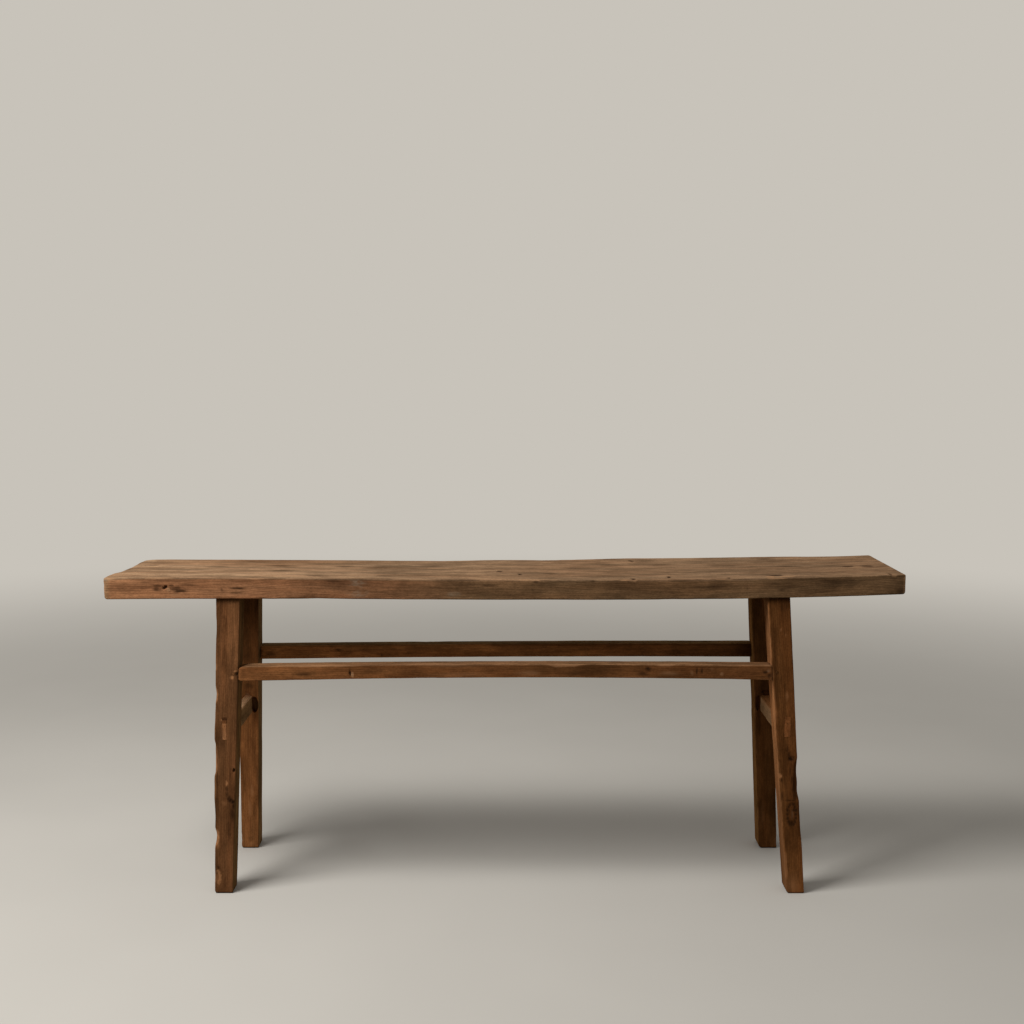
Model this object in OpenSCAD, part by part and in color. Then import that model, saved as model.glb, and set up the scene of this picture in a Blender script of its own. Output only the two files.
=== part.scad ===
// Long, narrow console table of solid timber: one thick warped plank on four splayed legs,
// tied by a long stretcher at front and back and a short stretcher at each end.
// Millimetres. The origin is on the floor under the middle of the table, X runs along
// the table, the front faces -Y and +Z is up.

/* [Top plank] */
// Length of the plank
top_length = 2020; // [1700:2:2400]
// Depth of the plank, front to back
top_depth = 362; // [330:1:480]
// Thickness of the plank at its left end, where it is thickest
top_thick_left = 56; // [42:0.5:70]
// Thickness of the plank at its right end
top_thick_right = 51; // [42:0.5:70]
// Height of the plank's underside above the floor at its left end
underside_height = 757.5; // [680:0.5:860]
// Upward bow of the plank's left third
warp_left = 7; // [0:0.5:14]
// Sag of the plank's right third
warp_right = 13; // [0:0.5:22]
// Lift of the plank's right end
warp_end = 13.5; // [0:0.5:20]
// How far the left end runs out of square from front to back
end_skew = 18; // [0:1:40]
// Rounding of the plank's ends, seen from the front
end_round = 7; // [2:0.5:14]
// Rounding of three corners, seen from above
corner_round = 8; // [2:0.5:20]
// Rounding of the worn corner at the right of the back edge
worn_corner_round = 18; // [10:1:40]

/* [Legs] */
// Width of the front left leg at its top
front_left_top_width = 61; // [48:0.5:75]
// Width of the back left leg at its top
back_left_top_width = 59.5; // [48:0.5:75]
// Width of both right legs at their tops
right_top_width = 58; // [48:0.5:75]
// Width of both front legs at their feet
front_foot_width = 46; // [36:0.5:60]
// Width of the back left leg at its foot
back_left_foot_width = 47; // [36:0.5:60]
// Width of the back right leg at its foot, which tapers less
back_right_foot_width = 51.5; // [36:0.5:60]
// Depth of a leg at its top, front to back
leg_top_depth = 66; // [56:0.5:80]
// Depth of a leg at its foot, front to back
leg_foot_depth = 60; // [48:0.5:80]
// Overhang of the plank past the legs at front and back
leg_setback = 6; // [2:0.5:20]
// From the plank's left end to the middle of the front left leg, at the top
front_left_inset = 313; // [240:1:400]
// From the plank's left end to the middle of the back left leg, at the top
back_left_inset = 309; // [240:1:400]
// From the plank's right end to the middle of the front right leg, at the top
front_right_inset = 318; // [240:1:400]
// From the plank's right end to the middle of the back right leg, at the top
back_right_inset = 311; // [240:1:400]
// How far each foot stands out to the front or back from its top
leg_rake = 27; // [0:0.5:45]
// Sideways lean of the front left leg, from top to foot
front_left_lean = 21.5; // [0:0.5:60]
// Sideways lean of the back left leg, from top to foot
back_left_lean = 13; // [0:0.5:60]
// Sideways lean of the front right leg, from top to foot
front_right_lean = 52; // [0:0.5:70]
// Sideways lean of the back right leg, from top to foot
back_right_lean = 35.5; // [0:0.5:70]

/* [Leg tenons into the plank] */
// Width of the tenon on top of a leg
leg_tenon_width = 30; // [20:0.5:40]
// Depth of the tenon on top of a leg, front to back
leg_tenon_depth = 36; // [24:0.5:48]
// Height of the tenon on top of a leg
leg_tenon_height = 30; // [16:0.5:34]

/* [Front stretcher] */
// Height of the front stretcher at its ends
front_stretcher_height = 38.5; // [30:0.5:50]
// Depth of the front stretcher, front to back
front_stretcher_depth = 42; // [32:0.5:52]
// Height above the floor of its underside at the left end
front_stretcher_z = 548; // [510:0.5:620]
// How much higher its right end sits
front_stretcher_rise = 3.5; // [0:0.5:8]
// Arch of its underside in the middle
front_stretcher_arch = 8; // [0:0.5:12]
// Crown of its top in the middle
front_stretcher_crown = 4.5; // [0:0.5:12]

/* [Back stretcher] */
// Height of the back stretcher at its ends
back_stretcher_height = 39.5; // [30:0.5:50]
// Depth of the back stretcher, front to back
back_stretcher_depth = 36; // [30:0.5:48]
// Height above the floor of its underside at the left end
back_stretcher_z = 536; // [510:0.5:620]
// How much higher its right end sits
back_stretcher_rise = 7; // [0:0.5:10]
// Arch of its underside in the middle
back_stretcher_arch = 3; // [0:0.5:12]
// Crown of its top in the middle
back_stretcher_crown = 2; // [0:0.5:12]

/* [Long stretcher tenons and pegs] */
// Thickness of a long stretcher's tenon, front to back
tenon_thick = 18; // [12:0.5:24]
// Shoulder above and below a long stretcher's tenon
tenon_shoulder = 5; // [3:0.5:9]
// Length of a long stretcher's tenon inside the leg
tenon_length = 38; // [28:0.5:41]
// Diameter of the peg that locks a long stretcher's tenon
peg_diameter = 8; // [5:0.5:12]
// From the leg's inner face to the middle of the peg
peg_inset = 12; // [9:0.5:18]
// Length of a peg from the outer face of the leg
peg_length = 48; // [36:0.5:52]

/* [Left side stretcher] */
// Height of the left side stretcher
left_side_height = 48.5; // [36:0.5:60]
// Thickness of the left side stretcher
left_side_thick = 20; // [16:0.5:30]
// Height above the floor of its underside
left_side_z = 391.5; // [330:0.5:450]
// Height of its through tenons
left_tenon_height = 41.5; // [26:0.5:46]
// Thickness of its through tenons
left_tenon_thick = 11; // [8:0.5:15]
// Height of the wedge over each tenon at the leg's outer face
left_wedge_height = 15; // [8:0.5:20]

/* [Right side stretcher] */
// Height of the right side stretcher
right_side_height = 43; // [36:0.5:60]
// Thickness of the right side stretcher
right_side_thick = 24; // [20:0.5:32]
// Height above the floor of its underside
right_side_z = 397; // [330:0.5:450]
// Height of its through tenons
right_tenon_height = 34; // [26:0.5:40]
// Thickness of its through tenons
right_tenon_thick = 15.5; // [8:0.5:17]
// Height of the wedge over each tenon at the leg's outer face
right_wedge_height = 18; // [8:0.5:20]

/* [Joints] */
// How far the through tenons lie outside the middle of their stretchers
side_tenon_offset = 3.5; // [0:0.5:4]
// Loss of height of a wedge along the leg's depth
wedge_taper = 4; // [1:0.5:6]
// Gap between a tenon and each wall of its mortise
joint_gap = 0.2; // [0.1:0.05:0.5]
// Gap between the end of a blind tenon and the bottom of its mortise
end_gap = 1.5; // [0.5:0.25:3]
// Gap between a peg and its hole
peg_gap = 0.1; // [0.05:0.05:0.3]

/* [Hidden] */

LEFT = -1;
RIGHT = 1;
FRONT = -1;
BACK = 1;

plank_color = [0.49, 0.34, 0.23];
leg_color = [0.34, 0.21, 0.13];
stretcher_color = [0.41, 0.26, 0.17];
joint_color = [0.46, 0.29, 0.19];

// Straight facets along the plank and along each long stretcher
plank_steps = 24;
stretcher_steps = 16;
// Facets of a rounded corner
corner_steps = 6;
$fn = 48;

// Reach of a cutting shape past everything it cuts
past = 60;
half_length = top_length / 2;
half_depth = top_depth / 2;

// Curve of the plank: height at x over the underside's left end, as a cubic with four control heights
function bezier(a, b, c, d, t) = a * (1 - t) ^ 3 + 3 * b * t * (1 - t) ^ 2 + 3 * c * t ^ 2 * (1 - t) + d * t ^ 3;
function along(x) = (x + half_length) / top_length;
function warp(x) = bezier(0, warp_left, -warp_right, warp_end, along(x));
function underside(x) = underside_height + warp(x);
// The plank loses most of its extra thickness within its left half
function topside(x) = underside(x) + top_thick_right + (top_thick_left - top_thick_right) * (1 - along(x)) ^ 3;

plank_x = [for (i = [0 : plank_steps]) (i / plank_steps - 0.5) * (top_length - 2 * end_round)];
underside_points = [for (x = plank_x) [x, underside(x)]];
topside_points = [for (i = [plank_steps : -1 : 0]) [plank_x[i], topside(plank_x[i])]];

// Points of an arc, without those numbers of steps at its start and end
function arc(c, r, from, to, skip_first = 0, skip_last = 0) =
    [for (i = [skip_first : corner_steps - skip_last])
        let (a = from + (to - from) * i / corner_steps)
        [c[0] + r * cos(a), c[1] + r * sin(a)]];

// A leg is [side, row, distance of its middle from the plank's middle at the top, lean, top width, foot width]
front_left = [
    LEFT, FRONT, half_length - front_left_inset,
    front_left_lean, front_left_top_width, front_foot_width
];
front_right = [
    RIGHT, FRONT, half_length - front_right_inset,
    front_right_lean, right_top_width, front_foot_width
];
back_left = [
    LEFT, BACK, half_length - back_left_inset,
    back_left_lean, back_left_top_width, back_left_foot_width
];
back_right = [
    RIGHT, BACK, half_length - back_right_inset,
    back_right_lean, right_top_width, back_right_foot_width
];

// How far down from the leg's top height z lies, as a share of the height
function down(z) = 1 - z / underside_height;
function leg_width(leg, z) = leg[4] + (leg[5] - leg[4]) * down(z);
function leg_depth(z) = leg_top_depth + (leg_foot_depth - leg_top_depth) * down(z);
function leg_x(leg, z) = leg[0] * (leg[2] + leg[3] * down(z));
function leg_y(leg, z) = leg[1] * (half_depth - leg_setback - leg_top_depth / 2 + leg_rake * down(z));
function inner_face_x(leg, z) = leg_x(leg, z) - leg[0] * leg_width(leg, z) / 2;
function outer_face_y(leg, z) = leg_y(leg, z) + leg[1] * leg_depth(z) / 2;

// Height at which legs are cut off before their tops are fitted to the plank
blank_height = underside_height + past;

// Outline of a leg seen from the front, as a beam that runs through the table's depth
module leg_from_front(leg) {
    translate([0, half_depth + 2 * past, 0])
        rotate([90, 0, 0])
        linear_extrude(top_depth + 4 * past)
        polygon([
            [leg_x(leg, 0) - leg_width(leg, 0) / 2, 0],
            [leg_x(leg, 0) + leg_width(leg, 0) / 2, 0],
            [leg_x(leg, blank_height) + leg_width(leg, blank_height) / 2, blank_height],
            [leg_x(leg, blank_height) - leg_width(leg, blank_height) / 2, blank_height]
        ]);
}

// Outline of a leg seen from the side, as a beam that runs along the table
module leg_from_side(leg) {
    translate([-half_length, 0, 0])
        rotate([90, 0, 90])
        linear_extrude(top_length)
        polygon([
            [leg_y(leg, 0) - leg_depth(0) / 2, 0],
            [leg_y(leg, 0) + leg_depth(0) / 2, 0],
            [leg_y(leg, blank_height) + leg_depth(blank_height) / 2, blank_height],
            [leg_y(leg, blank_height) - leg_depth(blank_height) / 2, blank_height]
        ]);
}

module leg_blank(leg) {
    intersection() {
        leg_from_front(leg);
        leg_from_side(leg);
    }
}

// Everything below the plank, bounded by the facets of its underside
module below_plank() {
    translate([0, half_depth + 2 * past, 0])
        rotate([90, 0, 0])
        linear_extrude(top_depth + 4 * past)
        polygon(concat([[-half_length + end_round, -past]], underside_points, [[half_length - end_round, -past]]));
}

// Tenon on top of a leg, or with a gap its mortise in the plank
module leg_tenon(leg, gap = 0, deeper = 0) {
    seat = underside(leg_x(leg, underside_height));
    size = [leg_tenon_width + 2 * gap, leg_tenon_depth + 2 * gap, 2 * leg_tenon_height + deeper];
    translate([leg_x(leg, seat), leg_y(leg, seat), seat + deeper / 2])
        cube(size, center = true);
}

// A long stretcher is [row, height, depth, z of its left end, rise, arch, crown]
front_long = [
    FRONT, front_stretcher_height, front_stretcher_depth, front_stretcher_z,
    front_stretcher_rise, front_stretcher_arch, front_stretcher_crown
];
back_long = [
    BACK, back_stretcher_height, back_stretcher_depth, back_stretcher_z,
    back_stretcher_rise, back_stretcher_arch, back_stretcher_crown
];

function long_legs(long) = long[0] == FRONT ? [front_left, front_right] : [back_left, back_right];
// Height of the middle of a long stretcher's end
function end_z(long, side) = long[3] + long[1] / 2 + (side == RIGHT ? long[4] : 0);
// Place of its middle in depth: its outer face is flush with the legs' outer faces
function long_y(long) = outer_face_y(long_legs(long)[0], end_z(long, LEFT)) - long[0] * long[2] / 2;
// Share of the full arch at x, none at the ends of the span
function bow(long, x) =
    let (left_x = inner_face_x(long_legs(long)[0], long[3]), right_x = inner_face_x(long_legs(long)[1], long[3]))
    let (t = (x - left_x) / (right_x - left_x))
    4 * t * (1 - t);
function long_bottom(long, x) =
    let (left_x = inner_face_x(long_legs(long)[0], long[3]), right_x = inner_face_x(long_legs(long)[1], long[3]))
    long[3] + long[4] * (x - left_x) / (right_x - left_x);

// Tenon at one end of a long stretcher, or with a gap its mortise in the leg
module long_tenon(long, side, gap = 0, deeper = 0) {
    leg = long_legs(long)[side == LEFT ? 0 : 1];
    z = end_z(long, side);
    reach = tenon_length + deeper;
    root = gap > 0 ? past : tenon_length / 2;
    translate([inner_face_x(leg, z) + side * (reach - root) / 2, long_y(long), z])
        cube([reach + root, tenon_thick + 2 * gap, long[1] - 2 * tenon_shoulder + 2 * gap], center = true);
}

// Peg through a leg and the tenon in it, from the leg's outer face inwards
module peg(long, side, gap = 0) {
    leg = long_legs(long)[side == LEFT ? 0 : 1];
    z = end_z(long, side);
    translate([inner_face_x(leg, z) + side * peg_inset, outer_face_y(leg, z) - leg[1] * (peg_length - past) / 2, z])
        rotate([90, 0, 0])
        cylinder(h = peg_length + past + 2 * gap, d = peg_diameter + 2 * gap, center = true);
}

// A side stretcher is [side, height, thickness, z, tenon height, tenon thickness, wedge height]
left_short = [
    LEFT, left_side_height, left_side_thick, left_side_z,
    left_tenon_height, left_tenon_thick, left_wedge_height
];
right_short = [
    RIGHT, right_side_height, right_side_thick, right_side_z,
    right_tenon_height, right_tenon_thick, right_wedge_height
];

function short_legs(short) = short[0] == LEFT ? [front_left, back_left] : [front_right, back_right];
function short_top(short) = short[3] + short[1];
// Place along the table: on the middle of its two legs
function short_x(short) =
    let (z = short[3] + short[1] / 2)
    (leg_x(short_legs(short)[0], z) + leg_x(short_legs(short)[1], z)) / 2;
function tenon_x(short) = short_x(short) + short[0] * side_tenon_offset;

// Between the outer faces of the front and back legs, seen from the side
module between_outer_faces(short) {
    front = short_legs(short)[0];
    back = short_legs(short)[1];
    translate([-half_length, 0, 0])
        rotate([90, 0, 90])
        linear_extrude(top_length)
        polygon([
            [outer_face_y(front, 0), 0],
            [outer_face_y(back, 0), 0],
            [outer_face_y(back, underside_height), underside_height],
            [outer_face_y(front, underside_height), underside_height]
        ]);
}

// Bar that forms both through tenons of a side stretcher, or with a gap their mortises
module tenon_bar(short, gap = 0) {
    translate([tenon_x(short), 0, short_top(short) - short[4] / 2 - gap / 2])
        cube([short[5] + 2 * gap, top_depth + 4 * past, short[4] + gap], center = true);
}

// Room over the tenon in one leg, highest at the leg's outer face
module wedge_shape(short, leg, gap = 0) {
    z = short_top(short);
    outer = outer_face_y(leg, z);
    inner = outer - leg[1] * leg_depth(z);
    slope = wedge_taper / (outer - inner);
    translate([tenon_x(short) - short[5] / 2 - gap, 0, 0])
        rotate([90, 0, 90])
        linear_extrude(short[5] + 2 * gap)
        polygon([
            [inner - leg[1] * past / 2, z],
            [outer + leg[1] * past / 2, z],
            [outer + leg[1] * past / 2, z + short[6] + slope * leg[1] * past / 2],
            [inner - leg[1] * past / 2, z + short[6] - wedge_taper - slope * leg[1] * past / 2]
        ]);
}

module leg(leg) {
    long = leg[1] == FRONT ? front_long : back_long;
    short = leg[0] == LEFT ? left_short : right_short;
    color(leg_color)
        difference() {
            union() {
                intersection() {
                    leg_blank(leg);
                    below_plank();
                }
                leg_tenon(leg);
            }
            long_tenon(long, leg[0], joint_gap, end_gap);
            peg(long, leg[0], peg_gap);
            tenon_bar(short, joint_gap);
            wedge_shape(short, leg, joint_gap);
        }
}

module top_plank() {
    back_left_x = -half_length + corner_round + (top_depth - 2 * corner_round) * end_skew / top_depth;
    square_off = atan(end_skew / top_depth);
    color(plank_color)
        difference() {
            intersection() {
                // Seen from the front: the warped faces and the rounded ends
                translate([0, half_depth + past, 0])
                    rotate([90, 0, 0])
                    linear_extrude(top_depth + 2 * past)
                    polygon(concat(
                        underside_points,
                        arc([plank_x[plank_steps], underside(plank_x[plank_steps]) + end_round],
                            end_round, -90, 0, skip_first = 1),
                        arc([plank_x[plank_steps], topside(plank_x[plank_steps]) - end_round],
                            end_round, 0, 90, skip_last = 1),
                        topside_points,
                        arc([plank_x[0], topside(plank_x[0]) - end_round], end_round, 90, 180, skip_first = 1),
                        arc([plank_x[0], underside(plank_x[0]) + end_round], end_round, 180, 270, skip_last = 1)
                    ));
                // Seen from above: the skewed left end and the rounded corners
                translate([0, 0, underside_height - past])
                    linear_extrude(top_thick_left + 3 * past)
                    polygon(concat(
                        arc([-half_length + corner_round, -half_depth + corner_round],
                            corner_round, 180 - square_off, 270),
                        arc([half_length - corner_round, -half_depth + corner_round], corner_round, 270, 360),
                        arc([half_length - worn_corner_round, half_depth - worn_corner_round],
                            worn_corner_round, 0, 90),
                        arc([back_left_x, half_depth - corner_round], corner_round, 90, 180 - square_off)
                    ));
            }
            for (leg = [front_left, front_right, back_left, back_right])
                leg_tenon(leg, joint_gap, end_gap);
        }
}

module front_left_leg() {
    leg(front_left);
}

module front_right_leg() {
    leg(front_right);
}

module back_left_leg() {
    leg(back_left);
}

module back_right_leg() {
    leg(back_right);
}

// Long stretcher: a bowed bar between the legs' inner faces, with a pegged tenon at each end
module long_stretcher(long) {
    from_x = leg_x(long_legs(long)[0], long[3]);
    to_x = leg_x(long_legs(long)[1], long[3]);
    span_x = [for (i = [0 : stretcher_steps]) from_x + (to_x - from_x) * i / stretcher_steps];
    color(stretcher_color)
        difference() {
            union() {
                difference() {
                    translate([0, long_y(long) + long[2] / 2, 0])
                        rotate([90, 0, 0])
                        linear_extrude(long[2])
                        polygon(concat(
                            [for (x = span_x) [x, long_bottom(long, x) + long[5] * bow(long, x)]],
                            [for (i = [stretcher_steps : -1 : 0])
                                let (x = span_x[i])
                                [x, long_bottom(long, x) + long[1] + long[6] * bow(long, x)]]
                        ));
                    for (leg = long_legs(long))
                        leg_from_front(leg);
                }
                long_tenon(long, LEFT);
                long_tenon(long, RIGHT);
            }
            peg(long, LEFT, peg_gap);
            peg(long, RIGHT, peg_gap);
        }
}

module front_stretcher() {
    long_stretcher(front_long);
}

module back_stretcher() {
    long_stretcher(back_long);
}

// Side stretcher: a straight bar between the front and back legs, with through tenons flush outside
module side_stretcher(short) {
    z = short[3] + short[1] / 2;
    leg_to_leg = leg_y(short_legs(short)[1], z) - leg_y(short_legs(short)[0], z);
    color(stretcher_color)
        union() {
            difference() {
                translate([short_x(short), 0, z])
                    cube([short[2], leg_to_leg, short[1]], center = true);
                for (leg = short_legs(short))
                    leg_from_side(leg);
            }
            intersection() {
                tenon_bar(short);
                between_outer_faces(short);
            }
        }
}

module left_side_stretcher() {
    side_stretcher(left_short);
}

module right_side_stretcher() {
    side_stretcher(right_short);
}

// The four pegs, each flush with the outer face of its leg
module stretcher_pegs() {
    color(joint_color)
        for (long = [front_long, back_long])
            for (side = [LEFT, RIGHT])
                intersection() {
                    peg(long, side);
                    leg_from_side(long_legs(long)[0]);
                }
}

// The wedges over the through tenons of one side stretcher
module tenon_wedges(short) {
    color(joint_color)
        for (leg = short_legs(short))
            intersection() {
                wedge_shape(short, leg);
                leg_from_side(leg);
            }
}

module left_tenon_wedges() {
    tenon_wedges(left_short);
}

module right_tenon_wedges() {
    tenon_wedges(right_short);
}

top_plank();
front_left_leg();
front_right_leg();
back_left_leg();
back_right_leg();
front_stretcher();
back_stretcher();
left_side_stretcher();
right_side_stretcher();
stretcher_pegs();
left_tenon_wedges();
right_tenon_wedges();
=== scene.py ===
"""Console table of worn timber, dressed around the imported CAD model.

Each timber is a closed mesh that is swept in rings along its CAD solid's own section, with worn
arrises, chips, cracks and hand-planed faces, cut for its joints, and finished in procedural wood.
Metres. +X runs along the table, the front faces -Y and +Z is up.
"""

import math
from collections import namedtuple

import bmesh
import bpy
import numpy as np
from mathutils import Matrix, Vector


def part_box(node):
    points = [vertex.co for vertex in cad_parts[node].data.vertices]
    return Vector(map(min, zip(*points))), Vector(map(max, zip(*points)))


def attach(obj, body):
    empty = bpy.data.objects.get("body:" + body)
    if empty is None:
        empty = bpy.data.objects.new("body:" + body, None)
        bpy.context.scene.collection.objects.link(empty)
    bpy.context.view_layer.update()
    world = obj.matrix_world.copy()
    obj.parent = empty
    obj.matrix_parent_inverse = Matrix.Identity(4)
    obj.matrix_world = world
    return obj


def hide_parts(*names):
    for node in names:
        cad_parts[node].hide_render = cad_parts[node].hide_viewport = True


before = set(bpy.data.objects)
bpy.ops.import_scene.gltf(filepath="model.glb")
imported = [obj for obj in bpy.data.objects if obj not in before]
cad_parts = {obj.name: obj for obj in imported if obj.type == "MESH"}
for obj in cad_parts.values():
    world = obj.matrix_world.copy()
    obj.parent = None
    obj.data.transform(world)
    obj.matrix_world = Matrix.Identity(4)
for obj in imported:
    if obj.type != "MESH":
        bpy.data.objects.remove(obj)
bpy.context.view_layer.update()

X, Y, Z = 0, 1, 2
MM = 0.001

# Arrises of a timber, as its corners in the plane of its two cross axes
LOW_LOW, HIGH_LOW, HIGH_HIGH, LOW_HIGH = range(4)
CORNER_SIGNS = ((-1, -1), (1, -1), (1, 1), (-1, 1))
CORNER_STARTS = (180, 270, 0, 90)
ARC_STEPS = 5
# How many times closer the rings stand at small marks and chips, and what counts as small
FINER = 2.3
SMALL_MARK = 16 * MM
SMALL_CHIP = 25 * MM
# The bevel round a tenon's tip, and the room around what a joint holds
TENON_BEVEL = 0.6 * MM
JOINT_GAP = 0.4 * MM
# Pegs, how far their middles lie from the legs' inner faces, and the bores for them in the legs and in
# the tenons of the long stretchers
PEG_RADIUS, PEG_LENGTH = 3.95 * MM, 47.5 * MM
PEG_INSET = 12 * MM
LEG_BORE, LEG_BORE_DEPTH = 4.3 * MM, 49 * MM
TENON_BORE = 4.1 * MM
# Faces that meet at more than this angle keep a sharp edge between them
SHARP_ANGLE = math.radians(42)

# Places are in metres, and the other lengths of the next three in millimetres.
# A place on a surface that time has changed, or a place of painted shade. size is its reach along X,
# Y and Z, dent its depth, edge how steep its sides are, and the rest how dark, how bare and how grey it is.
Mark = namedtuple("Mark", "place size dent dark bare grey edge", defaults=(0, 0, 0, 0, 1.5))
# A piece broken off an arris: where along it, its reach, how far it cuts in and how bare it is
Chip = namedtuple("Chip", "corner at reach size bare", defaults=(0.8,))
# Rounding of a timber's end at one side: its length along the timber and how far it draws in
Round = namedtuple("Round", "length drop")


def on_front(x, z, *values, **named):
    return Mark((x, "low", z), *values, **named)


def on_top(x, y, *values, **named):
    return Mark((x, y, "high"), *values, **named)


# Noise

def lattice(cell, seed):
    """Random number from -1 to 1 for each whole-number cell."""
    mixed = cell[:, 0] * 73856093 ^ cell[:, 1] * 19349663 ^ cell[:, 2] * 83492791 ^ seed * 912367
    mixed = (mixed ^ (mixed >> 13)) * 1274126177 & 0xFFFFFFFF
    mixed = (mixed ^ (mixed >> 15)) * 73244475 & 0xFFFFFFFF
    return (mixed ^ (mixed >> 16)) / 2**31 - 1


def noise(places, seed, octaves=1):
    """Smooth random number from about -1 to 1 at each place, with a feature in each unit."""
    total = np.zeros(len(places))
    for octave in range(octaves):
        scaled = places * 2**octave + 17.3 * octave
        cell = np.floor(scaled).astype(np.int64)
        share = scaled - cell
        share = share * share * (3 - 2 * share)
        for corner in np.ndindex(2, 2, 2):
            weight = np.prod(np.where(corner, share, 1 - share), axis=1)
            total += weight * lattice(cell + corner, seed + octave) / 2**octave
    return total


def line_noise(at, seed):
    """Smooth random number from -1 to 1 along a line."""
    return noise(np.stack([at, 0 * at, 0 * at], 1), seed)


def ramp(value, low, high):
    """From 0 at low to 1 at high, with smooth ends."""
    share = np.clip((value - low) / (high - low), 0, 1)
    return share * share * (3 - 2 * share)


# Sections of the CAD solids

_solids = {}


def section(node, axis, at):
    """Lowest and highest corner of a CAD node's cut at one place along an axis."""
    if node not in _solids:
        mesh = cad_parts[node].data
        places = np.array([v.co for v in mesh.vertices])
        pairs = np.array([e.vertices for e in mesh.edges])
        _solids[node] = places[pairs[:, 0]], places[pairs[:, 1]]
    start, end = _solids[node]
    before, after = start[:, axis] - at, end[:, axis] - at
    crossing = (before > 0) != (after > 0)
    share = before[crossing] / (before - after)[crossing]
    met = start[crossing] + (end - start)[crossing] * share[:, None]
    return met.min(0), met.max(0)


def carry_on(at, places, values):
    """Straight lines between values at places, with the last slope kept past both ends."""
    i = np.clip(np.searchsorted(places, at) - 1, 0, len(places) - 2)
    share = (at - places[i]) / (places[i + 1] - places[i])
    return values[i] + (values[i + 1] - values[i]) * share[:, None]


class Timber:
    """A long piece: its CAD section along an axis, its arrises and planing in mm, and its marks."""

    def __init__(self, node, axis, cuts, arris, seed, chips=(), marks=(), planed=0.5, limits=None):
        self.node, self.axis, self.seed = node, axis, seed
        self.across = [a for a in (X, Y, Z) if a != axis]
        self.cuts = np.array(cuts, float)
        if limits is None:
            sections = [section(node, axis, at) for at in cuts]
            limits = [np.array([s[end][self.across] for s in sections]) for end in (0, 1)]
        self.low, self.high = limits
        self.arris, self.planed = np.array(arris) * MM, planed * MM
        self.chips = [chip._replace(reach=chip.reach * MM, size=chip.size * MM) for chip in chips]
        self.marks = [self.settled(mark) for mark in marks]

    def settled(self, mark):
        """The mark in metres, with "low" or "high" in its place turned into that limit of the timber."""
        limits = dict(zip(("low", "high"), self.limits(np.array([mark.place[self.axis]]))))
        place = [
            limits[value][0, self.across.index(axis)] if isinstance(value, str) else value
            for axis, value in enumerate(mark.place)
        ]
        return mark._replace(place=place, size=np.array(mark.size) * MM, dent=mark.dent * MM)

    def limits(self, at):
        """Low and high limits across the timber at places along it."""
        return carry_on(at, self.cuts, self.low), carry_on(at, self.cuts, self.high)

    def radius(self, at, corner):
        """Rounding of one arris at places along it: worn unevenly, and broken off at its chips."""
        slow = line_noise(at * 9, self.seed + corner)
        fast = line_noise(at * 45, self.seed + 9 + corner)
        radius = self.arris[corner] * (1 + 0.45 * slow + 0.3 * fast)
        for chip in self.chips:
            if chip.corner == corner:
                away = np.abs(at - chip.at) / chip.reach
                ragged = 1 + 0.25 * line_noise(at * 130, self.seed)
                radius = radius + chip.size * ramp(1 - away, 0, 0.7) * ragged
        return np.maximum(radius, 0.4 * MM)

    def grain(self, places):
        """Coordinates in the wood: along the timber, and across it from its middle."""
        at = places[:, self.axis]
        low, high = self.limits(at)
        return np.column_stack([at, places[:, self.across] - (low + high) / 2])

    def edge_share(self, places):
        """The nearest arris of each place, and how close it is: 1 on the arris, 0 past its rounding."""
        at = places[:, self.axis]
        low, high = self.limits(at)
        cross = places[:, self.across]
        upper = cross > (low + high) / 2
        gap = np.where(upper, high - cross, cross - low).max(1)
        above = np.where(upper[:, 0], HIGH_HIGH, LOW_HIGH)
        below = np.where(upper[:, 0], HIGH_LOW, LOW_LOW)
        corner = np.where(upper[:, 1], above, below)
        radius = np.choose(corner, [self.radius(at, k) for k in range(4)])
        return corner, np.clip(1.25 - gap / np.maximum(radius, 0.8 * MM), 0, 1)


def stations(start, end, step, fine=()):
    """Places from start to end, step apart, and closer within each (middle, reach) in fine."""
    places = [start]
    while places[-1] < end - step / 2:
        near = any(abs(places[-1] - middle) < reach for middle, reach in fine)
        places.append(places[-1] + (step / FINER if near else step))
    return np.array(places[:-1] + [end])


def fine_zones(timber):
    """Where along a timber its small marks and chips need closer rings."""
    zones = [
        (m.place[timber.axis], m.size[timber.axis] * 1.2) for m in timber.marks
        if m.dent > 0 and m.size[timber.axis] < SMALL_MARK
    ]
    return zones + [(c.at, c.reach * 1.1) for c in timber.chips if c.reach < SMALL_CHIP]


# Rings: the place of each along the timber, its limits, its arrises, its slope to both cross axes,
# and 1 where its surface wears or 0 where it stays as cut
Rings = namedtuple("Rings", "at low high arris slope rough")


def join_rings(*parts):
    return Rings(*(np.concatenate(field) for field in zip(*parts)))


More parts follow.
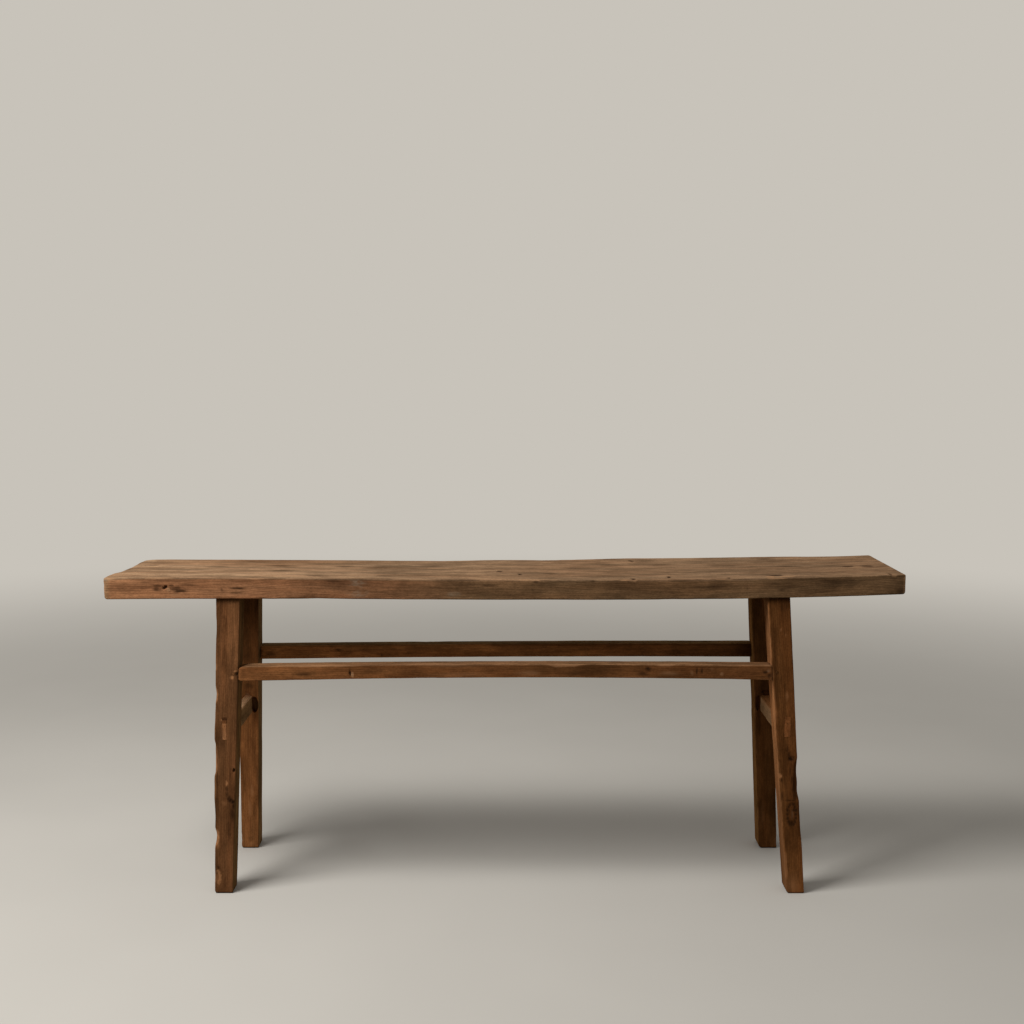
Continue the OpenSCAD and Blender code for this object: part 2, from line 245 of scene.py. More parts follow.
def body_rings(timber, start, end, step, start_rounds, end_rounds, slopes, arc=7):
    """Rings of a timber's body from start to end, drawn in at each end by its four Rounds.

    The Rounds are those of the low and high side on the first cross axis, then on the second.
    slopes are the slants of the start and end faces, each to both cross axes.
    """
    turn = 1 - np.sin(np.linspace(0, math.pi / 2, arc))
    start_length = max(r.length for r in start_rounds) * MM
    end_length = max(r.length for r in end_rounds) * MM
    middle = stations(start + start_length, end - end_length, step, fine_zones(timber))
    at = np.concatenate([
        (start + start_length * turn)[::-1][:-1], middle, (end - end_length * turn)[1:],
    ])
    low, high = timber.limits(at)
    low, high = low.copy(), high.copy()
    for rounds, away in ((start_rounds, at - start), (end_rounds, end - at)):
        for side, one in enumerate(rounds):
            left = np.clip(1 - away / (one.length * MM), 0, 1)
            drop = one.drop * MM * (1 - np.sqrt(1 - left * left))
            if side % 2 == 0:
                low[:, side // 2] += drop
            else:
                high[:, side // 2] -= drop
    share = np.clip((at - start) / (end - start), 0, 1)[:, None]
    slope = np.array(slopes[0]) * (1 - share) + np.array(slopes[1]) * share
    arris = np.stack([timber.radius(at, k) for k in range(4)], 1)
    return Rings(at, low, high, arris, slope, np.ones(len(at)))


def end_face(rings, last, inset_step):
    """Rings that close an end flat, drawn in step by step from the first or last of rings."""
    i = -1 if last else 0
    room = (rings.high[i] - rings.low[i]).min() / 2
    inset = np.arange(1, int(room / inset_step)) * inset_step
    if not last:
        inset = inset[::-1]
    count = len(inset)
    return Rings(
        np.repeat(rings.at[i], count),
        rings.low[i] + inset[:, None],
        rings.high[i] - inset[:, None],
        np.maximum(rings.arris[i] - inset[:, None] / 2, 0.3 * MM),
        np.repeat(rings.slope[[i]], count, 0),
        np.ones(count),
    )


def tenon_rings(low, high, shoulder, tip, slope, tip_slope):
    """Rings of a tenon with an even section, from the shoulder to its tip."""
    away = math.copysign(1, tip - shoulder)
    at = np.array([shoulder, shoulder + away * MM, tip - away * TENON_BEVEL, tip])
    inset = np.array([0, 0, 0, TENON_BEVEL])[:, None]
    share = np.abs((at - shoulder) / (tip - shoulder))[:, None]
    return Rings(
        at, low + inset, high - inset, np.full((4, 4), 0.5 * MM),
        np.array(slope) * (1 - share) + np.array(tip_slope) * share, np.zeros(4),
    )


def flipped(rings):
    return Rings(*(field[::-1] for field in rings))


def closed(start, body, end, inset_step):
    """Rings of a body between two tenons, with both ends closed flat."""
    ends = end_face(start, False, inset_step), end_face(end, True, inset_step)
    return join_rings(ends[0], start, body, end, ends[1])


def spread(count, crowd=0.0):
    """Shares of a side, with more of them near its two ends where crowd is above 0."""
    even = np.arange(1, count) / count
    return even - crowd * np.sin(2 * math.pi * even) / (2 * math.pi)


def ring_places(timber, rings, columns):
    """Vertices of all rings: a rounded rectangle each, on its slanted plane."""
    radius = np.minimum(rings.arris, ((rings.high - rings.low).min(1) * 0.48)[:, None])
    loops = []
    for k, (signs, first) in enumerate(zip(CORNER_SIGNS, CORNER_STARTS)):
        r = radius[:, [k]]
        centre = np.where(np.array(signs) < 0, rings.low + r, rings.high - r)
        angle = np.radians(first + 90 * np.arange(ARC_STEPS + 1) / ARC_STEPS)
        turn = np.stack([np.cos(angle), np.sin(angle)], 1)
        loops.append(centre[:, None] + r[:, :, None] * turn)
    parts = []
    for k, loop in enumerate(loops):
        share = spread(*columns[k])[:, None]
        start, end = loop[:, -1:], loops[(k + 1) % 4][:, :1]
        parts += [loop, start + (end - start) * share]
    cross = np.concatenate(parts, 1)
    middle = ((rings.low + rings.high) / 2)[:, None]
    along = rings.at[:, None] + ((cross - middle) * rings.slope[:, None]).sum(2)
    places = np.empty(cross.shape[:2] + (3,))
    places[..., timber.axis] = along
    places[..., timber.across] = cross
    return places


def new_object(name, places, faces):
    mesh = bpy.data.meshes.new(name)
    mesh.from_pydata(places.tolist(), [], faces)
    work = bmesh.new()
    work.from_mesh(mesh)
    bmesh.ops.recalc_face_normals(work, faces=work.faces)
    work.to_mesh(mesh)
    work.free()
    piece = bpy.data.objects.new(name, mesh)
    bpy.context.scene.collection.objects.link(piece)
    return piece


def mesh_places(mesh):
    places = np.empty(len(mesh.vertices) * 3)
    mesh.vertices.foreach_get("co", places)
    return places.reshape(-1, 3)


def mark_share(mark, places, seed):
    """How much a mark holds at each place, with an uneven outline."""
    away = np.linalg.norm((places - mark.place) / mark.size, axis=1)
    away += 0.22 * noise(places / (0.6 * mark.size), seed)
    return np.clip((1 - away) * mark.edge, 0, 1) ** 1.5


def oval(place, reach, count, size, dent, dark):
    """Marks along an oval on a face seen from the front, as around a knot."""
    x, y, z = place
    turns = 2 * math.pi * np.arange(count) / count
    return tuple(
        Mark((x + reach[0] * math.cos(turn), y, z + reach[1] * math.sin(turn)), size, dent, dark)
        for turn in turns
    )


def surface_change(timber, places):
    """How far time and tools have taken the surface inwards at each place."""
    grain = timber.grain(places)
    broad = noise(grain * (4, 14, 14), timber.seed + 20)
    strokes = noise(grain * (22, 40, 40), timber.seed + 21)
    grooves = noise(grain * (7, 130, 130), timber.seed + 22, 2)
    change = timber.planed * (1.3 + 0.8 * broad + 0.5 * strokes + 0.35 * grooves) * 0.5
    for i, mark in enumerate(timber.marks):
        if mark.dent:
            change += mark.dent * mark_share(mark, places, timber.seed + 30 + i)
    return change


def sweep(timber, name, rings, columns):
    """The closed mesh of a timber through its rings, with its surface worn."""
    places = ring_places(timber, rings, columns)
    count, around = places.shape[:2]
    faces = []
    for i in range(count - 1):
        for j in range(around):
            k = (j + 1) % around
            faces.append((i * around + j, i * around + k, (i + 1) * around + k, (i + 1) * around + j))
    faces.append(tuple(range(around)))
    faces.append(tuple(range((count - 1) * around, count * around)))
    flat = places.reshape(-1, 3)
    piece = new_object(name, flat, faces)
    normals = np.empty(len(flat) * 3)
    piece.data.vertex_normals.foreach_get("vector", normals)
    rough = np.repeat(rings.rough, around)
    worn = flat - normals.reshape(-1, 3) * (surface_change(timber, flat) * rough)[:, None]
    piece.data.vertices.foreach_set("co", worn.ravel())
    return piece


# Cutting joints

BOX_FACES = [(0, 1, 3, 2), (4, 6, 7, 5), (0, 4, 5, 1), (2, 3, 7, 6), (0, 2, 6, 4), (1, 5, 7, 3)]


def slot_cutter(node, axis, here, there, start, end):
    """A block that follows a CAD node's section at here and there, from start to end."""
    cuts = [section(node, axis, at) for at in (here, there)]
    across = [a for a in (X, Y, Z) if a != axis]
    places = []
    for at in (start, end):
        share = (at - here) / (there - here)
        low, high = (cuts[0][k] * (1 - share) + cuts[1][k] * share for k in (0, 1))
        for b in (low[across[0]] - JOINT_GAP, high[across[0]] + JOINT_GAP):
            for c in (low[across[1]] - JOINT_GAP, high[across[1]] + JOINT_GAP):
                place = np.zeros(3)
                place[axis], place[across[0]], place[across[1]] = at, b, c
                places.append(place)
    return new_object("cutter", np.array(places), BOX_FACES)


def round_cutter(axis, centre, radii, start, end, steps=28):
    """A bar with an oval section, centred on a place, from start to end along an axis."""
    across = [a for a in (X, Y, Z) if a != axis]
    angle = 2 * math.pi * np.arange(steps) / steps
    places = np.zeros((2 * steps, 3))
    places[:steps, axis], places[steps:, axis] = start, end
    for a, radius, turn in zip(across, radii, (np.cos(angle), np.sin(angle))):
        places[:, a] = np.tile(centre[a] + radius * turn, 2)
    sides = [(j, (j + 1) % steps, steps + (j + 1) % steps, steps + j) for j in range(steps)]
    ends = [tuple(range(steps)), tuple(range(steps, 2 * steps))]
    return new_object("cutter", places, sides + ends)


def cut_away(piece, cutters):
    """Takes the cutters' space out of a piece."""
    for cutter in cutters:
        change = piece.modifiers.new("cut", "BOOLEAN")
        change.operation, change.solver, change.object = "DIFFERENCE", "MANIFOLD", cutter
        view = bpy.context.evaluated_depsgraph_get()
        cut = bpy.data.meshes.new_from_object(piece.evaluated_get(view))
        piece.modifiers.clear()
        piece.data = cut
        bpy.data.objects.remove(cutter)


# Painting: what the materials read from the mesh

def paint(timber, piece, shade, worn_arrises):
    """Stores the wood's coordinates, its wear and painted shade (dark, bare, grey) and its colour at each
    vertex.
    """
    mesh = piece.data
    places = mesh_places(mesh)
    corner, close = timber.edge_share(places)
    patchy = ramp(noise(timber.grain(places) * (60, 160, 160), timber.seed + 60, 2), -0.55, 0.6)
    bare = close * np.choose(corner, worn_arrises) * patchy
    dark = np.zeros(len(places))
    grey = np.zeros(len(places))
    for chip in timber.chips:
        away = np.abs(places[:, timber.axis] - chip.at) / chip.reach
        near = ramp(1 - away, 0, 0.5) * ramp(close, 0.1, 0.4) * (corner == chip.corner)
        bare = np.maximum(bare, chip.bare * near)
    for i, mark in enumerate(timber.marks):
        share = mark_share(mark, places, timber.seed + 30 + i)
        dark = np.maximum(dark * (1 - mark.bare * share), mark.dark * share)
        bare = np.maximum(bare * (1 - mark.dark * share), mark.bare * share)
        grey = np.maximum(grey, mark.grey * share)
    store(mesh, "grain", timber.grain(places) + timber.seed * 3.1)
    store(mesh, "wear_and_shade", np.column_stack([dark, bare, grey]))
    store(mesh, "shade", shade(places))
    mesh.set_sharp_from_angle(angle=SHARP_ANGLE)


def store(mesh, name, values):
    layer = mesh.attributes.new(name, "FLOAT_VECTOR", "POINT")
    layer.data.foreach_set("vector", np.ascontiguousarray(values, np.float32).ravel())


def dress(piece, material, slot, *nodes):
    """Gives a finished piece its material and puts it in the place of its CAD nodes."""
    piece.data.materials.clear()
    piece.data.materials.append(material)
    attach(piece, "root")
    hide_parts(*nodes)


def near_face(depth):
    """1 at a face, and 0 from 4 mm behind it."""
    return ramp(depth, 4 * MM, 1 * MM)[:, None]


def tone(at, points):
    """Brightness at places along a timber, from pairs of a place and its brightness."""
    return np.interp(at, *zip(*points))[:, None]


# Materials

# Wood that has gone grey, and dark marks and painted shade
GREY_WOOD = (142, 126, 106)
DARK_WOOD = (38, 24, 15)


def linear(*srgb):
    """A colour in linear light from its sRGB values of 0 to 255."""
    share = np.array(srgb) / 255
    return np.where(share > 0.04045, ((share + 0.055) / 1.055) ** 2.4, share / 12.92)


class Shader:
    """Adds nodes to one material or world. Inputs are values or the outputs of other nodes."""

    def __init__(self, owner):
        owner.use_nodes = True
        self.tree = owner.node_tree
        self.tree.nodes.clear()

    def add(self, kind, inputs, output=0, **settings):
        made = self.tree.nodes.new("ShaderNode" + kind)
        for name, value in settings.items():
            setattr(made, name, value)
        for name, value in inputs.items():
            if isinstance(value, bpy.types.NodeSocket):
                self.tree.links.new(value, made.inputs[name])
            else:
                made.inputs[name].default_value = value
        return made.outputs[output] if made.outputs else made

    def math(self, operation, *values):
        return self.add("Math", dict(enumerate(values)), operation=operation)

    def vector(self, operation, *values):
        return self.add("VectorMath", dict(enumerate(values)), operation=operation)

    def scaled(self, colour, share):
        return self.add("VectorMath", {"Vector": colour, "Scale": share}, operation="SCALE")

    def mixed(self, share, first, second):
        return self.add("MixRGB", {"Fac": share, "Color1": first, "Color2": second})

    def spread(self, value, low, high, to_low=0.0, to_high=1.0):
        inputs = {"Value": value, "From Min": low, "From Max": high, "To Min": to_low, "To Max": to_high}
        return self.add("MapRange", inputs, interpolation_type="SMOOTHSTEP")

    def noise(self, place, stretch, offset, detail=3.0, rough=0.55):
        """Noise with so many features in a metre along each axis of a place."""
        mapped = self.add("Mapping", {"Vector": place, "Location": offset, "Scale": stretch})
        inputs = {"Vector": mapped, "Scale": 1.0, "Detail": detail, "Roughness": rough}
        return self.add("TexNoise", inputs)

    def attribute(self, name):
        return self.add("Attribute", {}, output="Vector", attribute_name=name)

    def seen_ray(self):
        """1 for camera, glossy and transmission rays, which show the pale background, and else 0."""
        path = self.add("LightPath", {}, output="Is Camera Ray").node.outputs
        seen = self.math("MAXIMUM", path["Is Camera Ray"], path["Is Glossy Ray"])
        return self.math("MAXIMUM", seen, path["Is Transmission Ray"])


def opaque(colour):
    return tuple(float(c) for c in colour) + (1.0,)


def wood(name, seed, pith, ring_width=3.5 * MM, ring_depth=0.16, waviness=16 * MM, streak_depth=0.28,
         blotch_depth=0.5, fineness=(130, 130), roughness=0.62, bare=(172, 130, 94)):
    """Old planed timber without gloss: rings about its pith, fibres, pores, patina, wear and painted shade.
    """
    material = bpy.data.materials.new(name)
    s = Shader(material)
    offset = (3.7 * seed, 1.9 * seed, 2.3 * seed)
    grain = s.attribute("grain")
    shade = s.attribute("shade")
    dark, worn, grey = s.add("SeparateXYZ", {"Vector": s.attribute("wear_and_shade")}, output="X").node.outputs

    # Rings: distance from the pith, bent by slow noise, as a saw-tooth with dark late wood
    bend = s.noise(grain, (2.2, 11.0, 11.0), offset, 2.0)
    across = s.vector("MULTIPLY", s.vector("SUBTRACT", grain, (0.0, pith[0], pith[1])), (0.0, 1.0, 1.0))
    reach = s.add("VectorMath", {0: across}, output="Value", operation="LENGTH")
    reach = s.math("ADD", reach, s.math("MULTIPLY", bend, waviness))
    uneven = s.noise(grain, (0.8, 60.0, 60.0), offset, 1.0)
    reach = s.math("ADD", reach, s.math("MULTIPLY", uneven, 4 * MM))
    phase = s.math("FRACT", s.math("DIVIDE", reach, ring_width))
    late = s.math("MULTIPLY", s.spread(phase, 0.35, 0.85), s.spread(phase, 1.0, 0.93))

    # Long streaks, fibres, short pores and broad patches
    streak = s.noise(grain, (9.0,) + fineness, offset, 5.0, 0.65)
    fibre = s.noise(grain, (28.0, 750.0, 750.0), offset, 2.0)
    pore = s.spread(s.noise(grain, (90.0, 1100.0, 1100.0), offset, 1.0), 0.62, 0.72)
    blotch = s.noise(grain, (6.0, 26.0, 26.0), offset, 4.0, 0.65)
    fine_blotch = s.noise(grain, (22.0, 45.0, 45.0), offset, 3.0, 0.6)
    mottle = s.noise(grain, (180.0, 300.0, 300.0), offset, 3.0, 0.7)

    share = s.math("SUBTRACT", 1.0 + ring_depth * 0.35, s.math("MULTIPLY", late, ring_depth))
    for part, depth, low, high in (
        (streak, streak_depth, 0.32, 0.66), (fibre, 0.16, 0.3, 0.7),
        (blotch, blotch_depth, 0.36, 0.62), (fine_blotch, 0.22, 0.3, 0.7), (mottle, 0.28, 0.3, 0.7),
    ):
        share = s.math("MULTIPLY", share, s.spread(part, low, high, 1 - depth / 2, 1 + depth / 2))
    share = s.math("MULTIPLY", share, s.spread(pore, 0.0, 1.0, 1.0, 0.72))
    colour = s.scaled(shade, share)

    # Redder and yellower patches, then bare wood, grey bloom, and dark marks and painted shade
    red = s.noise(grain, (3.0, 30.0, 30.0), (1.0, seed, 5.0), 3.0)
    warm = s.mixed(s.spread(red, 0.35, 0.65), (1.03, 0.985, 0.95, 1.0), (0.98, 1.005, 1.01, 1.0))
    colour = s.vector("MULTIPLY", colour, warm)
    bare_share = s.math("MULTIPLY", worn, s.spread(streak, 0.3, 0.6, 0.7, 1.0))
    bare_colour = s.scaled(opaque(linear(*bare))[:3], s.spread(fibre, 0.3, 0.7, 0.85, 1.1))
    colour = s.mixed(bare_share, colour, bare_colour)
    grey_share = s.math("MULTIPLY", grey, s.spread(fine_blotch, 0.4, 0.6))
    colour = s.mixed(grey_share, colour, opaque(linear(*GREY_WOOD)))
    dark_share = s.math("MULTIPLY", dark, s.spread(streak, 0.3, 0.6, 0.78, 1.05))
    colour = s.mixed(dark_share, colour, opaque(linear(*DARK_WOOD)))

    height = s.math("MULTIPLY", late, -0.5)
    height = s.math("ADD", height, s.math("MULTIPLY", fibre, 0.7))
    height = s.math("ADD", height, s.math("MULTIPLY", streak, 1.2))
    height = s.math("SUBTRACT", height, s.math("MULTIPLY", pore, 0.5))
    bump = s.add("Bump", {"Strength": 0.5, "Distance": 0.6 * MM, "Height": height})
    shine = s.spread(blotch, 0.35, 0.65, roughness - 0.08, roughness + 0.08)
    shine = s.math("ADD", shine, s.math("MULTIPLY", worn, 0.15))
    inputs = {"Base Color": colour, "Roughness": shine, "Normal": bump, "Specular IOR Level": 0.0}
    surface = s.add("BsdfPrincipled", inputs)
    s.add("OutputMaterial", {"Surface": surface})
    return material


# The top plank

# Where along the plank its CAD section is measured
PLANK_CUTS = np.linspace(-0.985, 0.985, 27)
PLANK_DEPTH = 0.362
# From the ends of the CAD's box to the ends of the mesh, before wear
LEFT_INSET, RIGHT_INSET = 10.3 * MM, 0.7 * MM
# How much lower and higher the back of the top lies than its front, and a height under the plank
BACK_LOW, BACK_HIGH = -4 * MM, 4.5 * MM
BELOW_PLANK = 0.72

plank = Timber(
    "top_plank", X, PLANK_CUTS, (3, 3, 3, 1.8), seed=3, planed=0.3,
    chips=(
        Chip(LOW_HIGH, -0.996, 22, 3, 1),
        Chip(LOW_HIGH, -0.866, 50, 1.5, 0.5),
        Chip(LOW_HIGH, -0.626, 30, 1.5, 0.3),
        Chip(LOW_HIGH, 0.052, 20, 1.5, 0.6),
        Chip(LOW_HIGH, 0.081, 14, 3.5, 0.3),
        Chip(LOW_HIGH, 0.303, 16, 1.5, 0.7),
        Chip(LOW_HIGH, 0.3255, 13, 5, 0.2),
        Chip(LOW_HIGH, 0.545, 20, 1.5, 0.7),
        Chip(LOW_HIGH, 0.5665, 10, 3.5, 0.2),
        Chip(LOW_HIGH, 0.684, 32, 1.5, 0.6),
        Chip(LOW_HIGH, 0.979, 9, 4.5, 0.1),
        Chip(HIGH_LOW, -0.403, 60, 3),
        Chip(HIGH_LOW, 0.297, 30, 4),
        Chip(HIGH_HIGH, 0.117, 50, 3, 0.4),
        Chip(LOW_LOW, 0.417, 30, 2.5, 0.2),
        Chip(LOW_LOW, -0.203, 50, 2, 0.2),
    ),
    marks=(
        # Knot hole in the front edge, with a light splinter and dark grain that flows around it
        on_front(-0.8551, 0.7868, (4.8, 9, 5), 6, 1, edge=3),
        on_front(-0.8508, 0.7900, (4.8, 9, 5), 6, 1, edge=3),
        on_front(-0.8734, 0.7849, (17, 6, 9), 0.4, 0.75),
        on_front(-0.8737, 0.7920, (20, 6, 5), 0.4, 0.75),
        on_front(-0.9050, 0.7885, (36, 6, 6), dark=0.45),
        on_front(-0.8372, 0.7925, (10, 5, 5), 0.4, 0.65),
        on_front(-0.8270, 0.7860, (22, 5, 7), 0.3, 0.7),
        on_front(-0.8120, 0.7795, (26, 6, 7.5), 0.5, 0.85),
        on_front(-0.7950, 0.7951, (38, 5, 3.6), dark=0.55),
        on_front(-0.8446, 0.7836, (5.5, 6, 5.5), bare=1, edge=3),
        on_front(-0.8272, 0.7697, (16, 4, 4), bare=0.4),
        on_front(-1.009, 0.785, (7, 12, 45), bare=1, edge=3),
        on_front(-1.003, 0.8115, (9, 16, 8), bare=1, grey=0.6, edge=3),
        # Cracks, stains and a seam in the front edge
        on_front(-0.7111, 0.7822, (2.6, 4, 9), 0.5, 0.6),
        on_front(-0.6680, 0.7857, (28, 6, 3.4), 0.7, 0.85, edge=2),
        on_front(-0.6740, 0.7745, (28, 5, 5), 0.3, 0.45),
        on_front(-0.6660, 0.7805, (17, 4, 3), bare=0.25),
        on_front(-0.43, 0.805, (50, 4, 7), dark=0.5),
        on_front(-0.4077, 0.7895, (26, 4, 12), dark=0.2),
        on_front(-0.3713, 0.7862, (34, 8, 30), grey=0.65, edge=2),
        on_front(-0.1265, 0.7721, (24, 5, 11), grey=0.45),
        on_front(-0.09, 0.796, (60, 4, 5), dark=0.15),
        on_front(-0.036, 0.7945, (34, 5, 7), dark=0.55),
        on_front(0.2228, 0.8040, (12, 5, 4.5), 0.3, 0.55),
        on_front(0.081, 0.802, (12, 4, 5), 0.5, 0.6),
        on_front(0.48, 0.79, (34, 4, 4), dark=0.35),
        on_front(0.540, 0.7910, (46, 5, 13), dark=0.45),
        on_front(0.6122, 0.788, (2, 4, 30), 0.3, 0.4),
        on_front(0.7, 0.784, (9, 4, 7), dark=0.4),
        on_front(0.7250, 0.7905, (44, 5, 6), 0.3, 0.35),
        on_front(0.697, 0.783, (10, 4, 7), dark=0.5),
        on_front(0.7950, 0.7985, (26, 5, 9), dark=0.1),
        on_front(0.8380, 0.8035, (56, 5, 9), dark=0.45),
        on_front(0.8700, 0.8035, (30, 5, 12), dark=0.45),
        Mark((-0.47, "low", "low"), (110, 60, 12), 1.8, edge=1),
        on_front(0.9968, 0.7786, (18, 8, 12), dark=0.5),
        # Cracks, small holes and lost splinters in the top
        on_top(-0.0135, -0.038, (11, 18, 14), 0.8, 0.75, edge=2),
        on_top(0.0398, -0.0860, (7, 15, 12), 1.5, 0.9, edge=2),
        on_top(0.118, -0.0760, (24, 11, 12), 0.6, 0.75, edge=2),
        on_top(0.184, 0.020, (44, 14, 14), dark=0.5),
        on_top(0.3455, 0.134, (9, 20, 18), 1.5, 0.65, edge=2),
        on_top(0.3255, -0.166, (10, 16, 6), 2, 0.95, edge=1.5),
        on_top(0.4178, -0.1423, (7, 14, 8), 1, 1, edge=2),
        on_top(0.5665, -0.166, (6, 14, 5), 1, 0.8, edge=1.5),
        on_top(0.6880, -0.136, (24, 13, 8), 1.2, 0.8, edge=2),
        on_top(0.672, -0.160, (15, 14, 6), bare=0.9, edge=2),
        on_top(0.715, -0.156, (28, 12, 6), bare=0.6, edge=2),
        on_top(0.9000, -0.012, (22, 15, 18), 0.8, 0.6, edge=2),
        on_top(0.9530, -0.018, (20, 22, 18), 0.6, 0.55, edge=2),
        on_top(0.9260, -0.020, (16, 24, 18), bare=0.35),
        on_top(0.9745, -0.162, (5, 16, 8), 2, 0.95, edge=2),
        on_top(-0.99, 0.085, (12, 34, 16), 2, 0.3, edge=1),
        on_top(-1.0, 0.005, (24, 110, 30), 3.6, edge=2),
        Mark((-0.985, "low", "high"), (80, 44, 14), 2, edge=1),
        Mark((-1.006, -0.165, 0.7950), (12, 60, 17), 1.5, edge=1),
        # Stains on the top
        on_top(0.712, 0.136, (34, 22, 18), dark=0.5),
        on_top(0.744, 0.004, (50, 15, 18), dark=0.55),
        on_top(0.58, 0.04, (60, 26, 18), dark=0.4),
        on_top(0.42, 0.06, (50, 30, 18), dark=0.35),
        on_top(-0.947, 0.062, (30, 16, 16), dark=0.55),
        on_top(-0.77, 0.03, (60, 22, 16), dark=0.4),
        on_top(-0.7, 0.149, (24, 18, 16), dark=0.4),
        on_top(-0.60, 0.057, (50, 20, 16), dark=0.55),
        on_top(-0.578, -0.04, (50, 24, 16), dark=0.55),
        on_top(-0.474, -0.135, (36, 20, 10), dark=0.5),
        on_top(-0.425, 0.045, (34, 20, 16), dark=0.55),
        on_top(-0.305, -0.126, (36, 20, 10), dark=0.5),
        on_top(-0.33, 0.03, (75, 60, 16), dark=0.5),
        on_top(-0.2, 0.06, (50, 34, 16), dark=0.4),
    ),
)


# How bright the front edge and the top are along the plank, painted light falloff included
EDGE_TONE_AND_LIGHT = (
    (-0.94, 0.95), (-0.76, 0.86), (-0.61, 0.77), (-0.5, 0.635), (-0.26, 0.72),
    (-0.05, 1.3), (0.24, 1.08), (0.49, 1.22), (0.94, 0.97),
)
TOP_TONE_AND_LIGHT = (
    (-0.8, 0.83), (-0.54, 0.87), (-0.42, 0.89), (-0.28, 0.73), (-0.08, 1.0),
    (0.25, 0.87), (0.52, 0.94), (0.78, 0.925), (0.94, 1.05),
)
# How far below the top's limit the front edge's colour begins, in millimetres
TOP_EDGE = ((-1.0, 7), (-0.95, 4), (-0.6, 3), (-0.2, 4.5), (0.2, 3.8), (0.4, 4.8), (0.6, 5), (0.72, 1.2))


def plank_shade(places):
    """Bleached top, front edge redder towards the left, and darker below and behind. Painted light falloff
    darkens the front edge and top towards the right, and painted light brightens the rounded right end.
    """
    x, y, z = places.T
    high = plank.limits(x)[1]
    edge = tone(x, TOP_EDGE)[:, 0] * MM
    top = ramp(z - high[:, 1] + edge, -1.7 * MM, 1.7 * MM)[:, None]
    front = ramp(-y, 0.174, 0.179)[:, None]
    left_end = ramp(-x, 0.99, 1.0)[:, None]
    right_end_light = ramp(x, 1.001, 1.007)[:, None]
    along = ramp(x, -0.42, -0.05)[:, None]
    far = ramp(x, -0.7, 0.1)[:, None]
    # Front edge and top lighter on the left: their own colour, with painted light falloff to the right in it
    face = linear(160, 111, 77) * (1 - along) + linear(108, 81, 56) * along
    above = linear(153, 121, 92) * (1 - far) + linear(134, 105, 79) * far
    above = above * (1 + 0.16 * ramp(y, 0.02, 0.17))[:, None]
    shade = linear(112, 80, 55) * (1 - front) + face * tone(x, EDGE_TONE_AND_LIGHT) * front
    shade = shade * (1 - left_end) + linear(160, 120, 86) * left_end
    # Painted light on the rounded right end, which faces away from the lamp
    shade = shade * (1 - right_end_light) + linear(160, 122, 88) * right_end_light
    return shade * (1 - top) + above * tone(x, TOP_TONE_AND_LIGHT) * top


def settle_plank(places):
    """The back of the top surface lies lower on the left and higher on the right."""
    x, y, z = places.T
    low, high = plank.limits(x)
    height = np.clip((z - low[:, 1]) / (high - low)[:, 1], 0, 1)
    depth = np.clip((y + PLANK_DEPTH / 2) / PLANK_DEPTH, 0, 1)
    sunk = ramp(x, 0.0, -0.2)
    raised = ramp(x, 0.1, 0.35) * ramp(x, 0.95, 0.68)
    places[:, 2] += height * depth * (BACK_LOW * sunk + BACK_HIGH * raised)
    return places


def make_plank():
    low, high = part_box("top_plank")
    edge = Round(7, 7)
    skew = 18 * MM / PLANK_DEPTH
    rings = body_rings(
        plank, low[X] + LEFT_INSET, high[X] - RIGHT_INSET, 5 * MM,
        (Round(5, 4), Round(45, 32), edge, Round(4, 3)),
        (Round(4, 4), Round(9, 9), edge, Round(6, 3)),
        ((skew, -0.045), (0.003, 0)), arc=9,
    )
    rings = join_rings(end_face(rings, False, 4 * MM), rings, end_face(rings, True, 4 * MM))
    columns = ((24, 0.5), (14, 0.4), (68, 0.6), (34, 0.3))
    piece = sweep(plank, "plank", rings, columns)
    places = settle_plank(mesh_places(piece.data))
    piece.data.vertices.foreach_set("co", places.ravel())
    cutters = []
    for leg in LEGS:
        tenon_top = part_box(leg.node)[1][Z]
        cuts = tenon_top - 8 * MM, tenon_top - 4 * MM
        cutters.append(slot_cutter(leg.node, Z, *cuts, BELOW_PLANK, tenon_top + MM))
    cut_away(piece, cutters)
    paint(plank, piece, plank_shade, (0.1, 0.2, 0.3, 0.25))
    material = wood(
        "plank_wood", plank.seed, (-0.05, -0.07), ring_width=4.5 * MM, ring_depth=0.14,
        waviness=40 * MM, streak_depth=0.34, blotch_depth=0.45, fineness=(26, 120),
    )
    dress(piece, material, "plank_wood", "top_plank")


# Legs

# Heights to measure a leg's section at, and one close under the plank
LEG_CUTS = (0.06, 0.70)
UNDER_PLANK = 0.759
# Distances from the middle plane, in depth: two places to measure a side stretcher's tenon at, and
# where its mortise starts and ends
TENON_CUTS = (0.165, 0.14)
MORTISE_ENDS = (0.21, 0.1)


def leg_of(node, seed, arris, chips, marks):
    return Timber(node, Z, LEG_CUTS, arris, seed, chips, marks)


